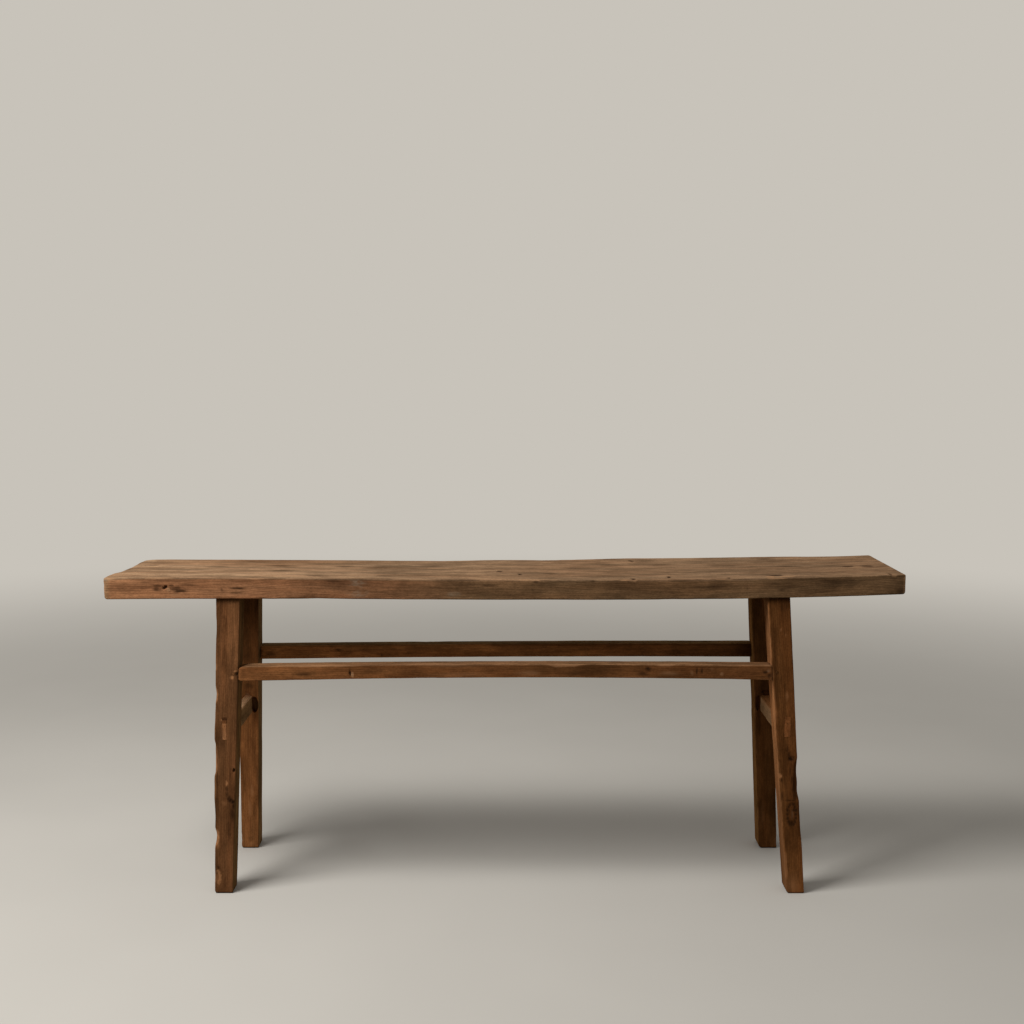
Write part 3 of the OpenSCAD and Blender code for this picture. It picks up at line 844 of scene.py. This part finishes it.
front_left = leg_of(
    "front_left_leg", 11, (2.6, 1.6, 3, 3),
    chips=(
        Chip(LOW_LOW, 0.514, 25, 4.5, 0.8),
        Chip(LOW_LOW, 0.585, 12, 2, 0.4),
        Chip(LOW_LOW, 0.345, 30, 2, 0.8),
        Chip(LOW_LOW, 0.268, 30, 1.5, 0.3),
        Chip(LOW_LOW, 0.146, 30, 10, 0.75),
        Chip(LOW_LOW, 0.0415, 21, 1.2, 0.4),
        Chip(HIGH_LOW, 0.22, 20, 2, 0.2),
        Chip(LOW_HIGH, 0.6, 30, 4),
    ),
    marks=(
        # A torn knot at the stretcher, the notch over the tenon, a nail hole and a scratch
        on_front(-0.6895, 0.5590, (6, 4, 7), 0.5, bare=0.9, edge=2),
        on_front(-0.6810, 0.5745, (5, 4, 4), bare=0.6, edge=2),
        on_front(-0.6765, 0.5665, (7, 5, 7), 1.2, 1, edge=2),
        on_front(-0.676, 0.561, (4, 4, 7), 0.6, 0.75),
        on_front(-0.7101, 0.4515, (9, 5, 5), 1.2, 0.8),
        on_front(-0.7165, 0.449, (3.5, 4, 3.5), bare=0.7, edge=2),
        on_front(-0.6879, 0.3194, (3.6, 9, 5.4), 6, 1, edge=3),
        on_front(-0.7070, 0.2858, (3.2, 6, 9), 0.6, bare=1, edge=3),
        # A bent crack, with a lighter ledge below it and darker wood beside it
        on_front(-0.7064, 0.2716, (5, 4, 12), 0.4, 0.5),
        on_front(-0.7062, 0.2575, (6, 5, 14), 0.6, 0.7),
        on_front(-0.7030, 0.2475, (9, 5, 9), 1, 0.9),
        on_front(-0.6985, 0.2415, (10, 5, 9), 1.2, 0.95),
        on_front(-0.6925, 0.2370, (11, 5, 8), 1.2, 0.95),
        on_front(-0.6890, 0.2270, (8, 5, 13), 1, 0.7),
        on_front(-0.6920, 0.2080, (9, 4, 26), dark=0.6),
        on_front(-0.7140, 0.2345, (9, 4, 9), bare=0.35),
        on_front(-0.703, 0.16, (6, 4, 50), dark=0.4),
        # Splinters torn off the outer arris, and the hollow and swelling of that side
        Mark(("low", -0.17, 0.145), (8, 60, 26), 5.2, bare=0.65, edge=1.2),
        Mark(("low", -0.16, 0.205), (9, 90, 45), 1.2, edge=1.5),
        Mark(("low", -0.16, 0.690), (9, 90, 34), 1.6, edge=1.2),
        on_front(-0.7312, 0.1480, (6, 6, 10), 0.5, bare=1, edge=2),
        on_front(-0.7312, 0.1290, (4, 5, 16), 0.3, bare=0.6),
        Mark(("low", "low", 0.516), (6, 20, 24), 2, bare=0.5, edge=1.3),
        Mark(("low", "low", 0.34), (9, 60, 170), -2.4, edge=2),
        Mark(("low", -0.16, 0.685), (9, 90, 80), 1.8, edge=1),
        Mark(("low", -0.16, 0.349), (9, 90, 47), 2.9, bare=0.6, edge=4),
        # A torn crescent at the foot
        on_front(-0.7345, 0.0455, (9, 5, 15), 1.6),
        on_front(-0.7335, 0.0440, (10, 6, 18), bare=0.2),
        on_front(-0.7330, 0.0580, (5, 5, 6), bare=0.65, edge=2.5),
        on_front(-0.7290, 0.0530, (5, 5, 7), bare=0.7, edge=2.5),
        on_front(-0.7268, 0.0455, (4.5, 5, 8), bare=0.8, edge=2.5),
        on_front(-0.7278, 0.0370, (5, 5, 8), bare=0.75, edge=2.5),
        on_front(-0.7305, 0.0290, (5.5, 5, 8), bare=0.6, edge=3),
        on_front(-0.7310, 0.0680, (7, 4, 6), dark=0.6),
        on_front(-0.711, 0.12, (22, 4, 60), dark=0.2),
        Mark(("high", "low", 0.705), (5, 5, 45), bare=0.4),
    ),
)
front_right = leg_of(
    "front_right_leg", 12, (4, 3, 3, 3),
    chips=(
        Chip(LOW_LOW, 0.306, 9, 2, 0.4),
        Chip(LOW_LOW, 0.07, 50, 4, 0.3),
        Chip(LOW_LOW, 0.48, 30, 1.5, 0.2),
        Chip(HIGH_LOW, 0.62, 20, 2, 0.3),
        Chip(HIGH_HIGH, 0.3, 40, 4),
    ),
    marks=oval((0.7321, "low", 0.2060), (11 * MM, 27 * MM), 16, (6, 4, 9), 0.4, 0.75) + (
        # Inside of the knot, the hollow beside it and the torn knot over it
        on_front(0.7330, 0.2060, (4, 4, 18), 0.3, grey=0.12),
        on_front(0.7368, 0.2175, (6, 4, 8), dark=0.7),
        on_front(0.7250, 0.2150, (5, 4, 12), dark=0.5),
        on_front(0.7324, 0.1838, (8, 4, 9), dark=0.75),
        Mark(("high", -0.16, 0.2950), (16, 90, 64), 8, 0.1, edge=3),
        Mark(("high", -0.16, 0.2880), (16, 90, 68), 3.8, edge=1.3),
        Mark(("high", "low", 0.19), (12, 60, 95), 2, edge=1.5),
        Mark(("high", "low", 0.4), (30, 60, 260), 1.2, edge=1),
        on_front(0.7188, 0.3726, (6, 4, 13), 0.4, 0.6),
        on_front(0.7235, 0.3610, (6, 4, 10), 0.6, 0.65),
        on_front(0.7285, 0.3490, (11, 6, 9), 1.5, 0.95, edge=2),
        on_front(0.7350, 0.3530, (6, 4, 6), dark=0.5),
        on_front(0.7264, 0.3180, (4, 4, 18), dark=0.6),
        on_front(0.7310, 0.2960, (4, 4, 18), dark=0.65),
        on_front(0.7345, 0.2740, (4, 4, 18), dark=0.65),
        on_front(0.7363, 0.2540, (4, 4, 14), dark=0.55),
        on_front(0.7270, 0.2414, (24, 6, 3.6), 0.6, 0.55),
        on_front(0.7049, 0.2952, (4, 4, 9), dark=0.6),
        on_front(0.7072, 0.2564, (4, 4, 16), dark=0.5),
        # Rubbed and stained places
        on_front(0.7042, 0.3055, (3.4, 5, 5), bare=0.8, edge=2),
        on_front(0.71, 0.667, (3, 4, 5), bare=0.4),
        on_front(0.698, 0.681, (3, 4, 5), bare=0.4),
        on_front(0.7156, 0.509, (6, 4, 16), bare=0.3),
        on_front(0.735, 0.02, (32, 20, 44), bare=0.55, edge=1),
        # Painted shade under the plank at the top of the leg
        on_front(0.705, 0.74, (24, 4, 22), dark=0.35),
    ),
)
back_left = leg_of(
    "back_left_leg", 13, (3, 3, 3, 3),
    chips=(
        Chip(LOW_LOW, 0.03, 20, 4, 0.3),
        Chip(HIGH_LOW, 0.20, 40, 3, 0.2),
        Chip(HIGH_HIGH, 0.5, 30, 4),
    ),
    marks=(
        on_front(-0.7040, 0.165, (7, 5, 30), bare=0.45),
        on_front(-0.7115, 0.115, (8, 5, 34), bare=0.45),
        on_front(-0.7010, 0.110, (5, 5, 34), dark=0.3),
        on_front(-0.711, 0.028, (14, 4, 12), dark=0.35),
        on_front(-0.7098, 0.013, (8, 4, 6), bare=0.4),
        on_front(-0.693, 0.545, (40, 60, 30), dark=0.35),
        on_front(-0.7050, 0.466, (17, 5, 14), dark=0.45),
        on_front(-0.690, 0.385, (15, 5, 22), dark=0.3),
    ),
)
back_right = leg_of(
    "back_right_leg", 14, (3, 3, 3, 3),
    chips=(
        Chip(LOW_LOW, 0.1, 30, 3, 0.2),
        Chip(HIGH_LOW, 0.02, 20, 4, 0.1),
        Chip(LOW_HIGH, 0.42, 50, 4),
    ),
    marks=(
        on_front(0.717, 0.10, (10, 4, 60), bare=0.1),
        on_front(0.712, 0.46, (40, 20, 40), dark=0.35),
        on_front(0.714, 0.4500, (18, 6, 7), 1, 0.95, edge=2),
    ),
)
LEGS = (front_left, front_right, back_left, back_right)


def side_and_row(leg):
    """1 at the right and -1 at the left, then 1 at the back and -1 at the front."""
    return (1 if "right" in leg.node else -1), (1 if "back" in leg.node else -1)


def held_nodes(leg):
    """The nodes of the long stretcher, the side stretcher and the wedges that a leg holds."""
    row, side, _ = leg.node.split("_")
    return row + "_stretcher", side + "_side_stretcher", side + "_tenon_wedges"


def leg_shade(front, inner, others, front_tone_and_light, inner_tone_and_light=((0, 1), (0.76, 1))):
    """Colour of a leg with front, inner side and other faces apart, painted light, and painted shadow at the
    floor.
    """

    def shade(timber, places):
        low, high = timber.limits(places[:, Z])
        at_front = near_face(places[:, Y] - low[:, 1])
        if side_and_row(timber)[0] < 0:
            gap = high[:, 0] - places[:, X]
        else:
            gap = places[:, X] - low[:, 0]
        at_inner = near_face(gap)
        z = places[:, Z]
        # Painted light: a lighter inner side; the tones by height paint light and shade, and shade under the
        # plank
        colour = others * (1 - at_inner) + inner * at_inner * tone(z, inner_tone_and_light)
        colour = colour * (1 - at_front) + front * at_front * tone(z, front_tone_and_light)
        # Painted contact shadow: darker in the lowest 5 mm above the floor
        return colour * (0.4 + 0.6 * ramp(z, 1 * MM, 5 * MM))[:, None]

    return shade


def underside(x):
    return float(plank.limits(np.array([x]))[0][0, 1])


def make_leg(leg, shade, rounds, recesses=()):
    """A leg with its foot on the floor, its tenon in the plank and its mortises and peg bore.

    recesses are oval hollows in its front face, each with its place, its two radii and its depth.
    """
    side, row = side_and_row(leg)
    long, short, wedges = held_nodes(leg)
    low, high = leg.limits(np.array([UNDER_PLANK]))
    middle = (low[0, 0] + high[0, 0]) / 2
    rise = (underside(middle + 0.03) - underside(middle - 0.03)) / 0.06
    top = underside(middle) + 0.5 * MM
    tenon_low, tenon_high = section(leg.node, Z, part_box(leg.node)[1][Z] - 6 * MM)
    snug = Round(1, 0.6)
    body = body_rings(leg, 0, top, 3.6 * MM, rounds, (snug,) * 4, ((0, 0), (rise, 0)))
    tenon = tenon_rings(tenon_low[:2], tenon_high[:2], top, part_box(leg.node)[1][Z], (rise, 0), (0, 0))
    foot = end_face(body, False, 4 * MM)
    rings = join_rings(foot, body, tenon, end_face(tenon, True, 4 * MM))
    columns = ((32, 0.3), (20, 0.3), (20, 0.3), (20, 0.3))
    piece = sweep(leg, leg.node.replace("_leg", "_post"), rings, columns)
    places = mesh_places(piece.data)
    places[:, Z] = np.maximum(places[:, Z], 0)
    piece.data.vertices.foreach_set("co", places.ravel())

    long_low, long_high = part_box(long)
    tip = (long_high if side > 0 else long_low)[X]
    back = side * 10 * MM
    cutters = [slot_cutter(long, X, tip - 3 * back, tip - back, tip - 6 * back, tip + side * MM)]
    outer, inner = (row * end for end in MORTISE_ENDS)
    here, there = (row * cut for cut in TENON_CUTS)
    cutters += [slot_cutter(node, Y, here, there, outer, inner) for node in (short, wedges)]
    peg = PEGS[leg.node]
    cutters.append(round_cutter(Y, peg, (LEG_BORE, LEG_BORE), outer, peg[Y] - row * LEG_BORE_DEPTH))
    for centre, radii, depth in recesses:
        face = leg.limits(np.array([centre[Z]]))[0][0, 1]
        cutters.append(round_cutter(Y, centre, radii, face - 10 * MM, face + depth))
    cut_away(piece, cutters)
    paint(leg, piece, lambda places: shade(leg, places), (0.3, 0.15, 0.2, 0.2))
    material = wood(leg.node + "_wood", leg.seed, (0.035 * side, 0.05), roughness=0.55, bare=(178, 124, 82))
    dress(piece, material, "leg_wood", leg.node)


# Long stretchers

# Where along the long stretchers their section is measured
LONG_CUTS = np.linspace(-0.62, 0.64, 15)


def face_slope(leg, z, which, axis):
    """Place and slant of one face of a leg at a height: which is 0 for its low side, 1 for its high."""
    ends = [leg.limits(np.array([z + step]))[which][0, axis] for step in (-0.05, 0.05)]
    return sum(ends) / 2, (ends[1] - ends[0]) / 0.1


def mid_height(node, axis, at):
    low, high = section(node, axis, at)
    return (low[Z] + high[Z]) / 2


def make_long(timber, name, left, right, start_rounds, end_rounds, shade, columns, pith):
    """A long stretcher between the inner faces of two legs, with a bored tenon at each end."""
    low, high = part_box(timber.node)
    tenons = [section(timber.node, X, at) for at in (low[X] + 5 * MM, high[X] - 5 * MM)]
    height = [(t[0][Z] + t[1][Z]) / 2 for t in tenons]
    start, start_slope = face_slope(left, height[0], 1, 0)
    end, end_slope = face_slope(right, height[1], 0, 0)
    slopes = ((0, start_slope), (0, end_slope))
    body = body_rings(timber, start, end, 3.2 * MM, start_rounds, end_rounds, slopes)
    ends = [
        tenon_rings(t[0][1:], t[1][1:], shoulder, tip, slope, (0, 0))
        for t, shoulder, tip, slope in zip(tenons, (start, end), (low[X], high[X]), slopes)
    ]
    ends[0] = flipped(ends[0])
    piece = sweep(timber, name, closed(ends[0], body, ends[1], 3 * MM), columns)
    pegs = [PEGS[leg.node] for leg in (left, right)]
    radii = (TENON_BORE, TENON_BORE)
    cut_away(piece, [round_cutter(Y, peg, radii, peg[Y] - 60 * MM, peg[Y] + 60 * MM) for peg in pegs])
    paint(timber, piece, lambda places: shade(timber, places), (0.35, 0.3, 0.5, 0.25))
    material = wood(timber.node + "_wood", timber.seed, pith, roughness=0.55)
    dress(piece, material, "stretcher_wood", timber.node)


def bar_shade(face, top, others, under, *tones_and_falloff):
    """Shade of a bar whose front face and top differ from the rest, with a darker line under the top."""

    def shade(timber, places):
        low, high = timber.limits(places[:, timber.axis])
        up = near_face(high[:, 1] - places[:, Z])
        front = near_face(places[:, timber.across[0]] - low[:, 0])
        gap = high[:, 1] - places[:, Z]
        line = (ramp(gap, 2 * MM, 4 * MM) * ramp(gap, 9 * MM, 5 * MM))[:, None]
        colour = (others * (1 - front) + face * front) * (1 - (1 - under) * line)
        # The tones along the bar paint light falloff and shade towards the right
        return colour * tone(places[:, X], tones_and_falloff) * (1 - up) + top * up

    return shade


front_bar = Timber(
    "front_stretcher", X, LONG_CUTS, (2, 2, 3.5, 2.6), 21,
    chips=(
        Chip(LOW_HIGH, 0.153, 55, 5, 0.3),
        Chip(LOW_HIGH, -0.453, 120, 2, 0.3),
        Chip(LOW_HIGH, 0.407, 30, 2, 0.3),
        Chip(LOW_LOW, -0.203, 40, 2, 0.2),
        Chip(HIGH_LOW, 0.097, 60, 4),
    ),
    marks=(
        # A nail mark with a lost splinter
        on_front(-0.3904, 0.5690, (3, 5, 12), 1.6, 1, edge=2.5),
        on_front(-0.3845, 0.5650, (4.5, 4, 9), 0.3, bare=0.8, edge=2),
        # Knots, cracks and rubbed places
        on_front(-0.507, 0.5655, (32, 4, 6), dark=0.5),
        on_front(-0.11, 0.5655, (110, 4, 8), bare=0.16),
        on_front(0.062, 0.5700, (42, 4, 9), bare=0.25),
        on_front(0.175, 0.5700, (58, 4, 12), dark=0.35),
        on_front(0.3631, 0.5795, (10, 4, 9), 0.5, 0.85),
        on_front(0.3506, 0.5680, (20, 4, 8), dark=0.55),
        on_front(0.415, 0.5690, (36, 4, 9), bare=0.25),
        on_front(0.487, 0.5750, (3.6, 4, 14), 0.5, 0.8),
        on_front(0.4997, 0.5750, (3.6, 4, 14), 0.5, 0.75),
        on_front(0.4745, 0.5700, (6, 4, 9), bare=0.35),
        on_front(0.5249, 0.5804, (4.5, 4, 5), bare=0.2),
        on_front(0.5503, 0.5680, (6, 4, 7), bare=0.5),
        on_front(0.6590, 0.5720, (9, 4, 7), 0.5, 0.8),
        on_front(0.6680, 0.5760, (6, 4, 5), grey=0.3, edge=2),
        on_front(0.672, 0.562, (9, 5, 8), 0.6, 0.65),
        on_front(0.6813, 0.591, (6, 6, 6), 1, 0.85),
        Mark((-0.14, "low", "high"), (120, 30, 12), bare=0.25),
        # Painted shade at both ends, where the stretcher meets the legs
        on_front(-0.661, 0.566, (9, 30, 24), dark=0.25),
        on_front(0.69, 0.571, (6, 30, 24), dark=0.45),
    ),
)
back_bar = Timber(
    "back_stretcher", X, LONG_CUTS, (2, 2.5, 2.5, 2.5), 22,
    chips=(Chip(HIGH_HIGH, -0.203, 50, 4), Chip(LOW_HIGH, 0.297, 50, 1.5, 0.1)),
    marks=(
        on_front(-0.4588, 0.562, (18, 4, 6), 0.4, 0.7),
        on_front(-0.341, 0.547, (3, 4, 8), 0.8, 0.9, edge=1.5),
        on_front(-0.650, 0.553, (28, 4, 14), dark=0.6),
        # Painted shade at both ends, where the stretcher meets the legs
        on_front(-0.682, 0.556, (16, 40, 30), dark=0.9),
        on_front(0.657, 0.56, (50, 40, 30), dark=0.4),
        on_front(0.47, 0.5635, (14, 4, 10), dark=0.3),
    ),
)

# Side stretchers

left_bar = Timber(
    "left_side_stretcher", Y, (-0.1, 0.1), (2.5,) * 4, 23,
    marks=(Mark(("high", 0.06, 0.40), (4, 50, 6), dark=0.2),),
)
right_bar = Timber(
    "right_side_stretcher", Y, (-0.1, 0.1), (2.5,) * 4, 24,
    # Painted contact shadow where the stretcher enters the front right leg
    marks=(Mark(("low", -0.11, 0.42), (6, 40, 24), dark=0.35),),
)


def make_short(timber, name, front, back, shade):
    """A side stretcher between two legs, its through tenons flush with their outer faces."""
    tenon_low, tenon_high = section(timber.node, Y, -0.16)
    height = mid_height(timber.node, Y, 0.0)
    start, start_slope = face_slope(front, height, 1, 1)
    end, end_slope = face_slope(back, height, 0, 1)
    tips = [face_slope(front, height, 0, 1), face_slope(back, height, 1, 1)]
    snug = (Round(2, 0.8),) * 4
    body = body_rings(timber, start, end, 3.2 * MM, snug, snug, ((0, start_slope), (0, end_slope)))
    ends = [
        tenon_rings(tenon_low[[X, Z]], tenon_high[[X, Z]], shoulder, tip[0], (0, slope), (0, tip[1]))
        for shoulder, tip, slope in zip((start, end), tips, (start_slope, end_slope))
    ]
    ends[0] = flipped(ends[0])
    piece = sweep(timber, name, closed(ends[0], body, ends[1], 2 * MM), ((8, 0.2), (16, 0.2)) * 2)
    paint(timber, piece, lambda places: shade(timber, places), (0.3, 0.3, 0.5, 0.5))
    material = wood(timber.node + "_wood", timber.seed, (0.03, 0.04))
    dress(piece, material, "stretcher_wood", timber.node)


def tie_shade(face, top, tenon):
    """Shade of a side stretcher: its faces, its top and the ends of its tenons."""

    def shade(timber, places):
        high = timber.limits(places[:, Y])[1]
        up = near_face(high[:, 1] - places[:, Z])
        outside = ramp(np.abs(places[:, Y]), 0.165, 0.17)[:, None]
        colour = face * (1 - up) + top * up
        return colour * (1 - outside) + tenon * outside

    return shade


# Pegs and wedges

def make_small(timber, leg, ending, body, inset_step, columns, colour, worn_arris, pith, ring_width):
    """A peg or wedge of one colour in a leg, with flat ends."""
    faces = end_face(body, False, inset_step), end_face(body, True, inset_step)
    piece = sweep(timber, leg.node.replace("_leg", ending), join_rings(faces[0], body, faces[1]), columns)
    paint(timber, piece, lambda places: np.tile(colour, (len(places), 1)), (worn_arris,) * 4)
    material = wood(timber.node + "_" + leg.node, timber.seed, pith, ring_width=ring_width)
    dress(piece, material, "joint_wood", timber.node)


def make_peg(leg):
    """A whittled peg, flush with the outer face of its leg."""
    side, row = side_and_row(leg)
    x, y, z = PEGS[leg.node]
    limits = [np.array([[x + reach, z + reach]] * 2) for reach in (-PEG_RADIUS, PEG_RADIUS)]
    peg = Timber("stretcher_pegs", Y, (-0.3, 0.3), (3.5,) * 4, leg.seed + 30, limits=limits, planed=0.25)
    start, end = sorted((y, y - row * PEG_LENGTH))
    domed = (Round(1.2, 0.8),) * 4
    body = body_rings(peg, start, end, 2.5 * MM, domed, domed, ((0, 0), (0, 0)))
    colour = linear(80, 50, 26) if side > 0 else linear(104, 69, 42)
    make_small(peg, leg, "_peg", body, 0.8 * MM, ((2, 0),) * 4, colour, 0.1, (0.01, 0.01), 2 * MM)


def make_wedge(leg, colour, marks=()):
    """A wedge over a through tenon, cut flush with both faces of the leg."""
    node, row = held_nodes(leg)[2], side_and_row(leg)[1]
    cuts = sorted(row * cut for cut in TENON_CUTS)
    wedge = Timber(node, Y, cuts, (0.8,) * 4, leg.seed + 40, marks=marks, planed=0.2)
    height = mid_height(node, Y, row * 0.18)
    start, start_slope = face_slope(leg, height, 0, 1)
    end, end_slope = face_slope(leg, height, 1, 1)
    snug = (Round(0.8, 0.4),) * 4
    body = body_rings(wedge, start, end, 2.5 * MM, snug, snug, ((0, start_slope), (0, end_slope)))
    columns = ((6, 0), (8, 0)) * 2
    make_small(wedge, leg, "_wedge", body, 1.5 * MM, columns, colour, 0.3, (0.02, 0.02), 2.5 * MM)


# All pieces

def peg_place(leg):
    """Middle of a peg's end on the outer face of its leg."""
    side, row = side_and_row(leg)
    long = held_nodes(leg)[0]
    tip = (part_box(long)[1] if side > 0 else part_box(long)[0])[X]
    z = mid_height(long, X, tip - side * 5 * MM)
    inner = face_slope(leg, z, 0 if side > 0 else 1, 0)[0]
    outer = face_slope(leg, z, 1 if row > 0 else 0, 1)[0]
    return np.array([inner + side * PEG_INSET, outer, z])


PEGS = {leg.node: peg_place(leg) for leg in LEGS}

small = Round(3, 2)
foot_front = Round(4, 3)
make_plank()
# Painted light and shade in the legs: lighter inner sides, tones by height, shade under the plank
make_leg(
    front_left,
    leg_shade(
        linear(111, 73, 45), linear(124, 92, 57), linear(100, 65, 39),
        ((0, 0.86), (0.11, 1.08), (0.2, 0.76), (0.32, 0.82), (0.45, 0.97), (0.65, 1.15), (0.745, 0.95),
         (0.757, 0.35)),
        ((0, 0.85), (0.1, 1), (0.65, 0.95), (0.74, 0.75)),
    ),
    (Round(8, 7), small, foot_front, small),
)
make_leg(
    front_right,
    leg_shade(
        linear(97, 60, 31), linear(142, 96, 61), linear(96, 60, 33),
        ((0, 1.45), (0.12, 1.18), (0.22, 0.95), (0.37, 1.14), (0.5, 1.19), (0.6, 0.95), (0.745, 0.95),
         (0.757, 0.4)),
        ((0, 0.68), (0.22, 0.76), (0.37, 1.05), (0.5, 1.9), (0.6, 1.5), (0.7, 0.97), (0.745, 0.9),
         (0.757, 0.4)),
    ),
    (Round(10, 6), small, foot_front, small),
)
make_leg(
    back_left,
    leg_shade(
        linear(129, 84, 49), linear(133, 101, 66), linear(98, 62, 36),
        ((0, 1.15), (0.11, 1.2), (0.23, 1.06), (0.37, 1.75), (0.57, 1.25), (0.68, 0.47), (0.74, 0.35)),
    ),
    (Round(8, 7), small, foot_front, small),
    recesses=(((-0.6915, 0, 0.4135), (11 * MM, 23 * MM), 16 * MM),),
)
make_leg(
    back_right,
    leg_shade(
        linear(78, 48, 24), linear(134, 94, 54), linear(88, 55, 31),
        ((0, 1.65), (0.055, 1.55), (0.115, 1), (0.23, 1.65), (0.37, 1.08), (0.57, 1.33), (0.68, 1.55),
         (0.74, 1.25)),
        ((0, 1.1), (0.1, 0.9), (0.3, 0.95), (0.76, 1)),
    ),
    (Round(12, 10), Round(6, 5), foot_front, small),
    recesses=(((0.696, 0, 0.4185), (5 * MM, 22 * MM), 12 * MM),),
)
tight = Round(3, 1)
make_long(
    front_bar, "front_rail", front_left, front_right,
    (Round(14, 3), Round(10, 2), Round(20, 3), Round(28, 8)),
    (tight, tight, tight, Round(8, 2)),
    bar_shade(
        linear(110, 70, 40), linear(121, 87, 59), linear(98, 64, 38), 0.95,
        (-0.66, 1.8), (-0.59, 1.68), (-0.42, 1.09), (-0.14, 1.07), (0.115, 0.81), (0.37, 0.87), (0.62, 0.98),
    ),
    ((12, 0.2), (10, 0.2), (14, 0.3), (16, 0.3)), (-0.06, -0.03),
)
make_long(
    back_bar, "back_rail", back_left, back_right, (tight,) * 4, (tight,) * 4,
    bar_shade(
        linear(119, 76, 42), linear(126, 96, 62), linear(98, 62, 36), 0.65,
        (-0.65, 2.05), (-0.43, 1.68), (-0.15, 1.76), (0.12, 1.52), (0.4, 1.13), (0.68, 0.38),
    ),
    ((10, 0.2), (12, 0.2), (10, 0.2), (14, 0.3)), (0.05, -0.04),
)
# Painted light on the left side stretcher's top, which is far lighter than its faces
make_short(left_bar, "left_tie", front_left, back_left,
           tie_shade(linear(146, 112, 75), linear(224, 180, 136), linear(165, 112, 73)))
make_short(right_bar, "right_tie", front_right, back_right,
           tie_shade(linear(172, 132, 95), linear(156, 106, 64), linear(130, 82, 47)))
for leg in LEGS:
    make_peg(leg)
make_wedge(front_left, linear(104, 66, 39), [Mark((-0.7101, -0.187, 0.4515), (12, 16, 5), 0.6, 0.75)])
# The back left wedge's colour holds painted light, to match the leg's tones around it
make_wedge(back_left, linear(156, 104, 64), [Mark((-0.7050, 0.13, 0.4427), (20, 60, 3.5), bare=0.8)])
make_wedge(front_right, linear(128, 80, 45))
make_wedge(back_right, linear(70, 42, 22))

# Floor, light and camera

PALE = opaque(linear(200, 195, 186))
FLOOR_SIZE = 120
# The floor turns into the plain background between these distances
NEAR, FAR = 1.9, 6.5
AMBIENT = 0.31
KEY_WATTS, KEY_SIZE = 132, 1.6
KEY_PLACE, KEY_TARGET = Vector((-2.05, -1.36, 3.575)), Vector((0, 0, 0.6))
CAMERA_PLACE = (0.0221, -3.6534, 1.3429)
CAMERA_PITCH, CAMERA_ROLL = 0.1043, 0.0008
CAMERA_LENS = 49.13

floor_mesh = bpy.data.meshes.new("floor")
corners = [(a * FLOOR_SIZE / 2, b * FLOOR_SIZE / 2, 0) for a, b in CORNER_SIGNS]
floor_mesh.from_pydata(corners, [], [(0, 1, 2, 3)])
floor = bpy.data.objects.new("floor", floor_mesh)
bpy.context.scene.collection.objects.link(floor)

paper = bpy.data.materials.new("floor_paper")
s = Shader(paper)
place = s.add("TexCoord", {}, output="Object")
distance = s.add("VectorMath", {0: place}, output="Value", operation="LENGTH")
seen = s.seen_ray()
cloud = s.noise(place, (1.5, 1.5, 1.5), (0.0, 0.0, 0.0), 2.0)
pale = s.scaled(PALE[:3], s.spread(cloud, 0.3, 0.7, 0.985, 1.015))
near = s.add("BsdfDiffuse", {"Color": s.mixed(seen, (0.28, 0.26, 0.22, 1.0), pale)})
far = s.add("Emission", {"Color": PALE, "Strength": 1.0})
share = s.math("MULTIPLY", s.spread(distance, NEAR, FAR), seen)
s.add("OutputMaterial", {"Surface": s.add("MixShader", {0: share, 1: near, 2: far})})
floor_mesh.materials.append(paper)

world = bpy.data.worlds.new("studio")
bpy.context.scene.world = world
s = Shader(world)
seen = s.seen_ray()
dim = s.add("Background", {"Color": (1.0, 0.985, 0.96, 1.0), "Strength": AMBIENT})
bright = s.add("Background", {"Color": PALE, "Strength": 1.0})
s.add("OutputWorld", {"Surface": s.add("MixShader", {0: seen, 1: dim, 2: bright})})

key_light = bpy.data.lights.new("key", "AREA")
key_light.shape, key_light.size, key_light.energy = "SQUARE", KEY_SIZE, KEY_WATTS
key = bpy.data.objects.new("key", key_light)
key.location = KEY_PLACE
key.rotation_euler = (KEY_TARGET - KEY_PLACE).to_track_quat("-Z", "Y").to_euler()
bpy.context.scene.collection.objects.link(key)

camera_data = bpy.data.cameras.new("camera")
camera_data.lens, camera_data.sensor_width = CAMERA_LENS, 36
camera = bpy.data.objects.new("camera", camera_data)
camera.location = CAMERA_PLACE
camera.rotation_euler = (math.pi / 2 - CAMERA_PITCH, 0, CAMERA_ROLL)
bpy.context.scene.collection.objects.link(camera)
bpy.context.scene.camera = camera
bpy.context.scene.view_settings.view_transform = "Standard"
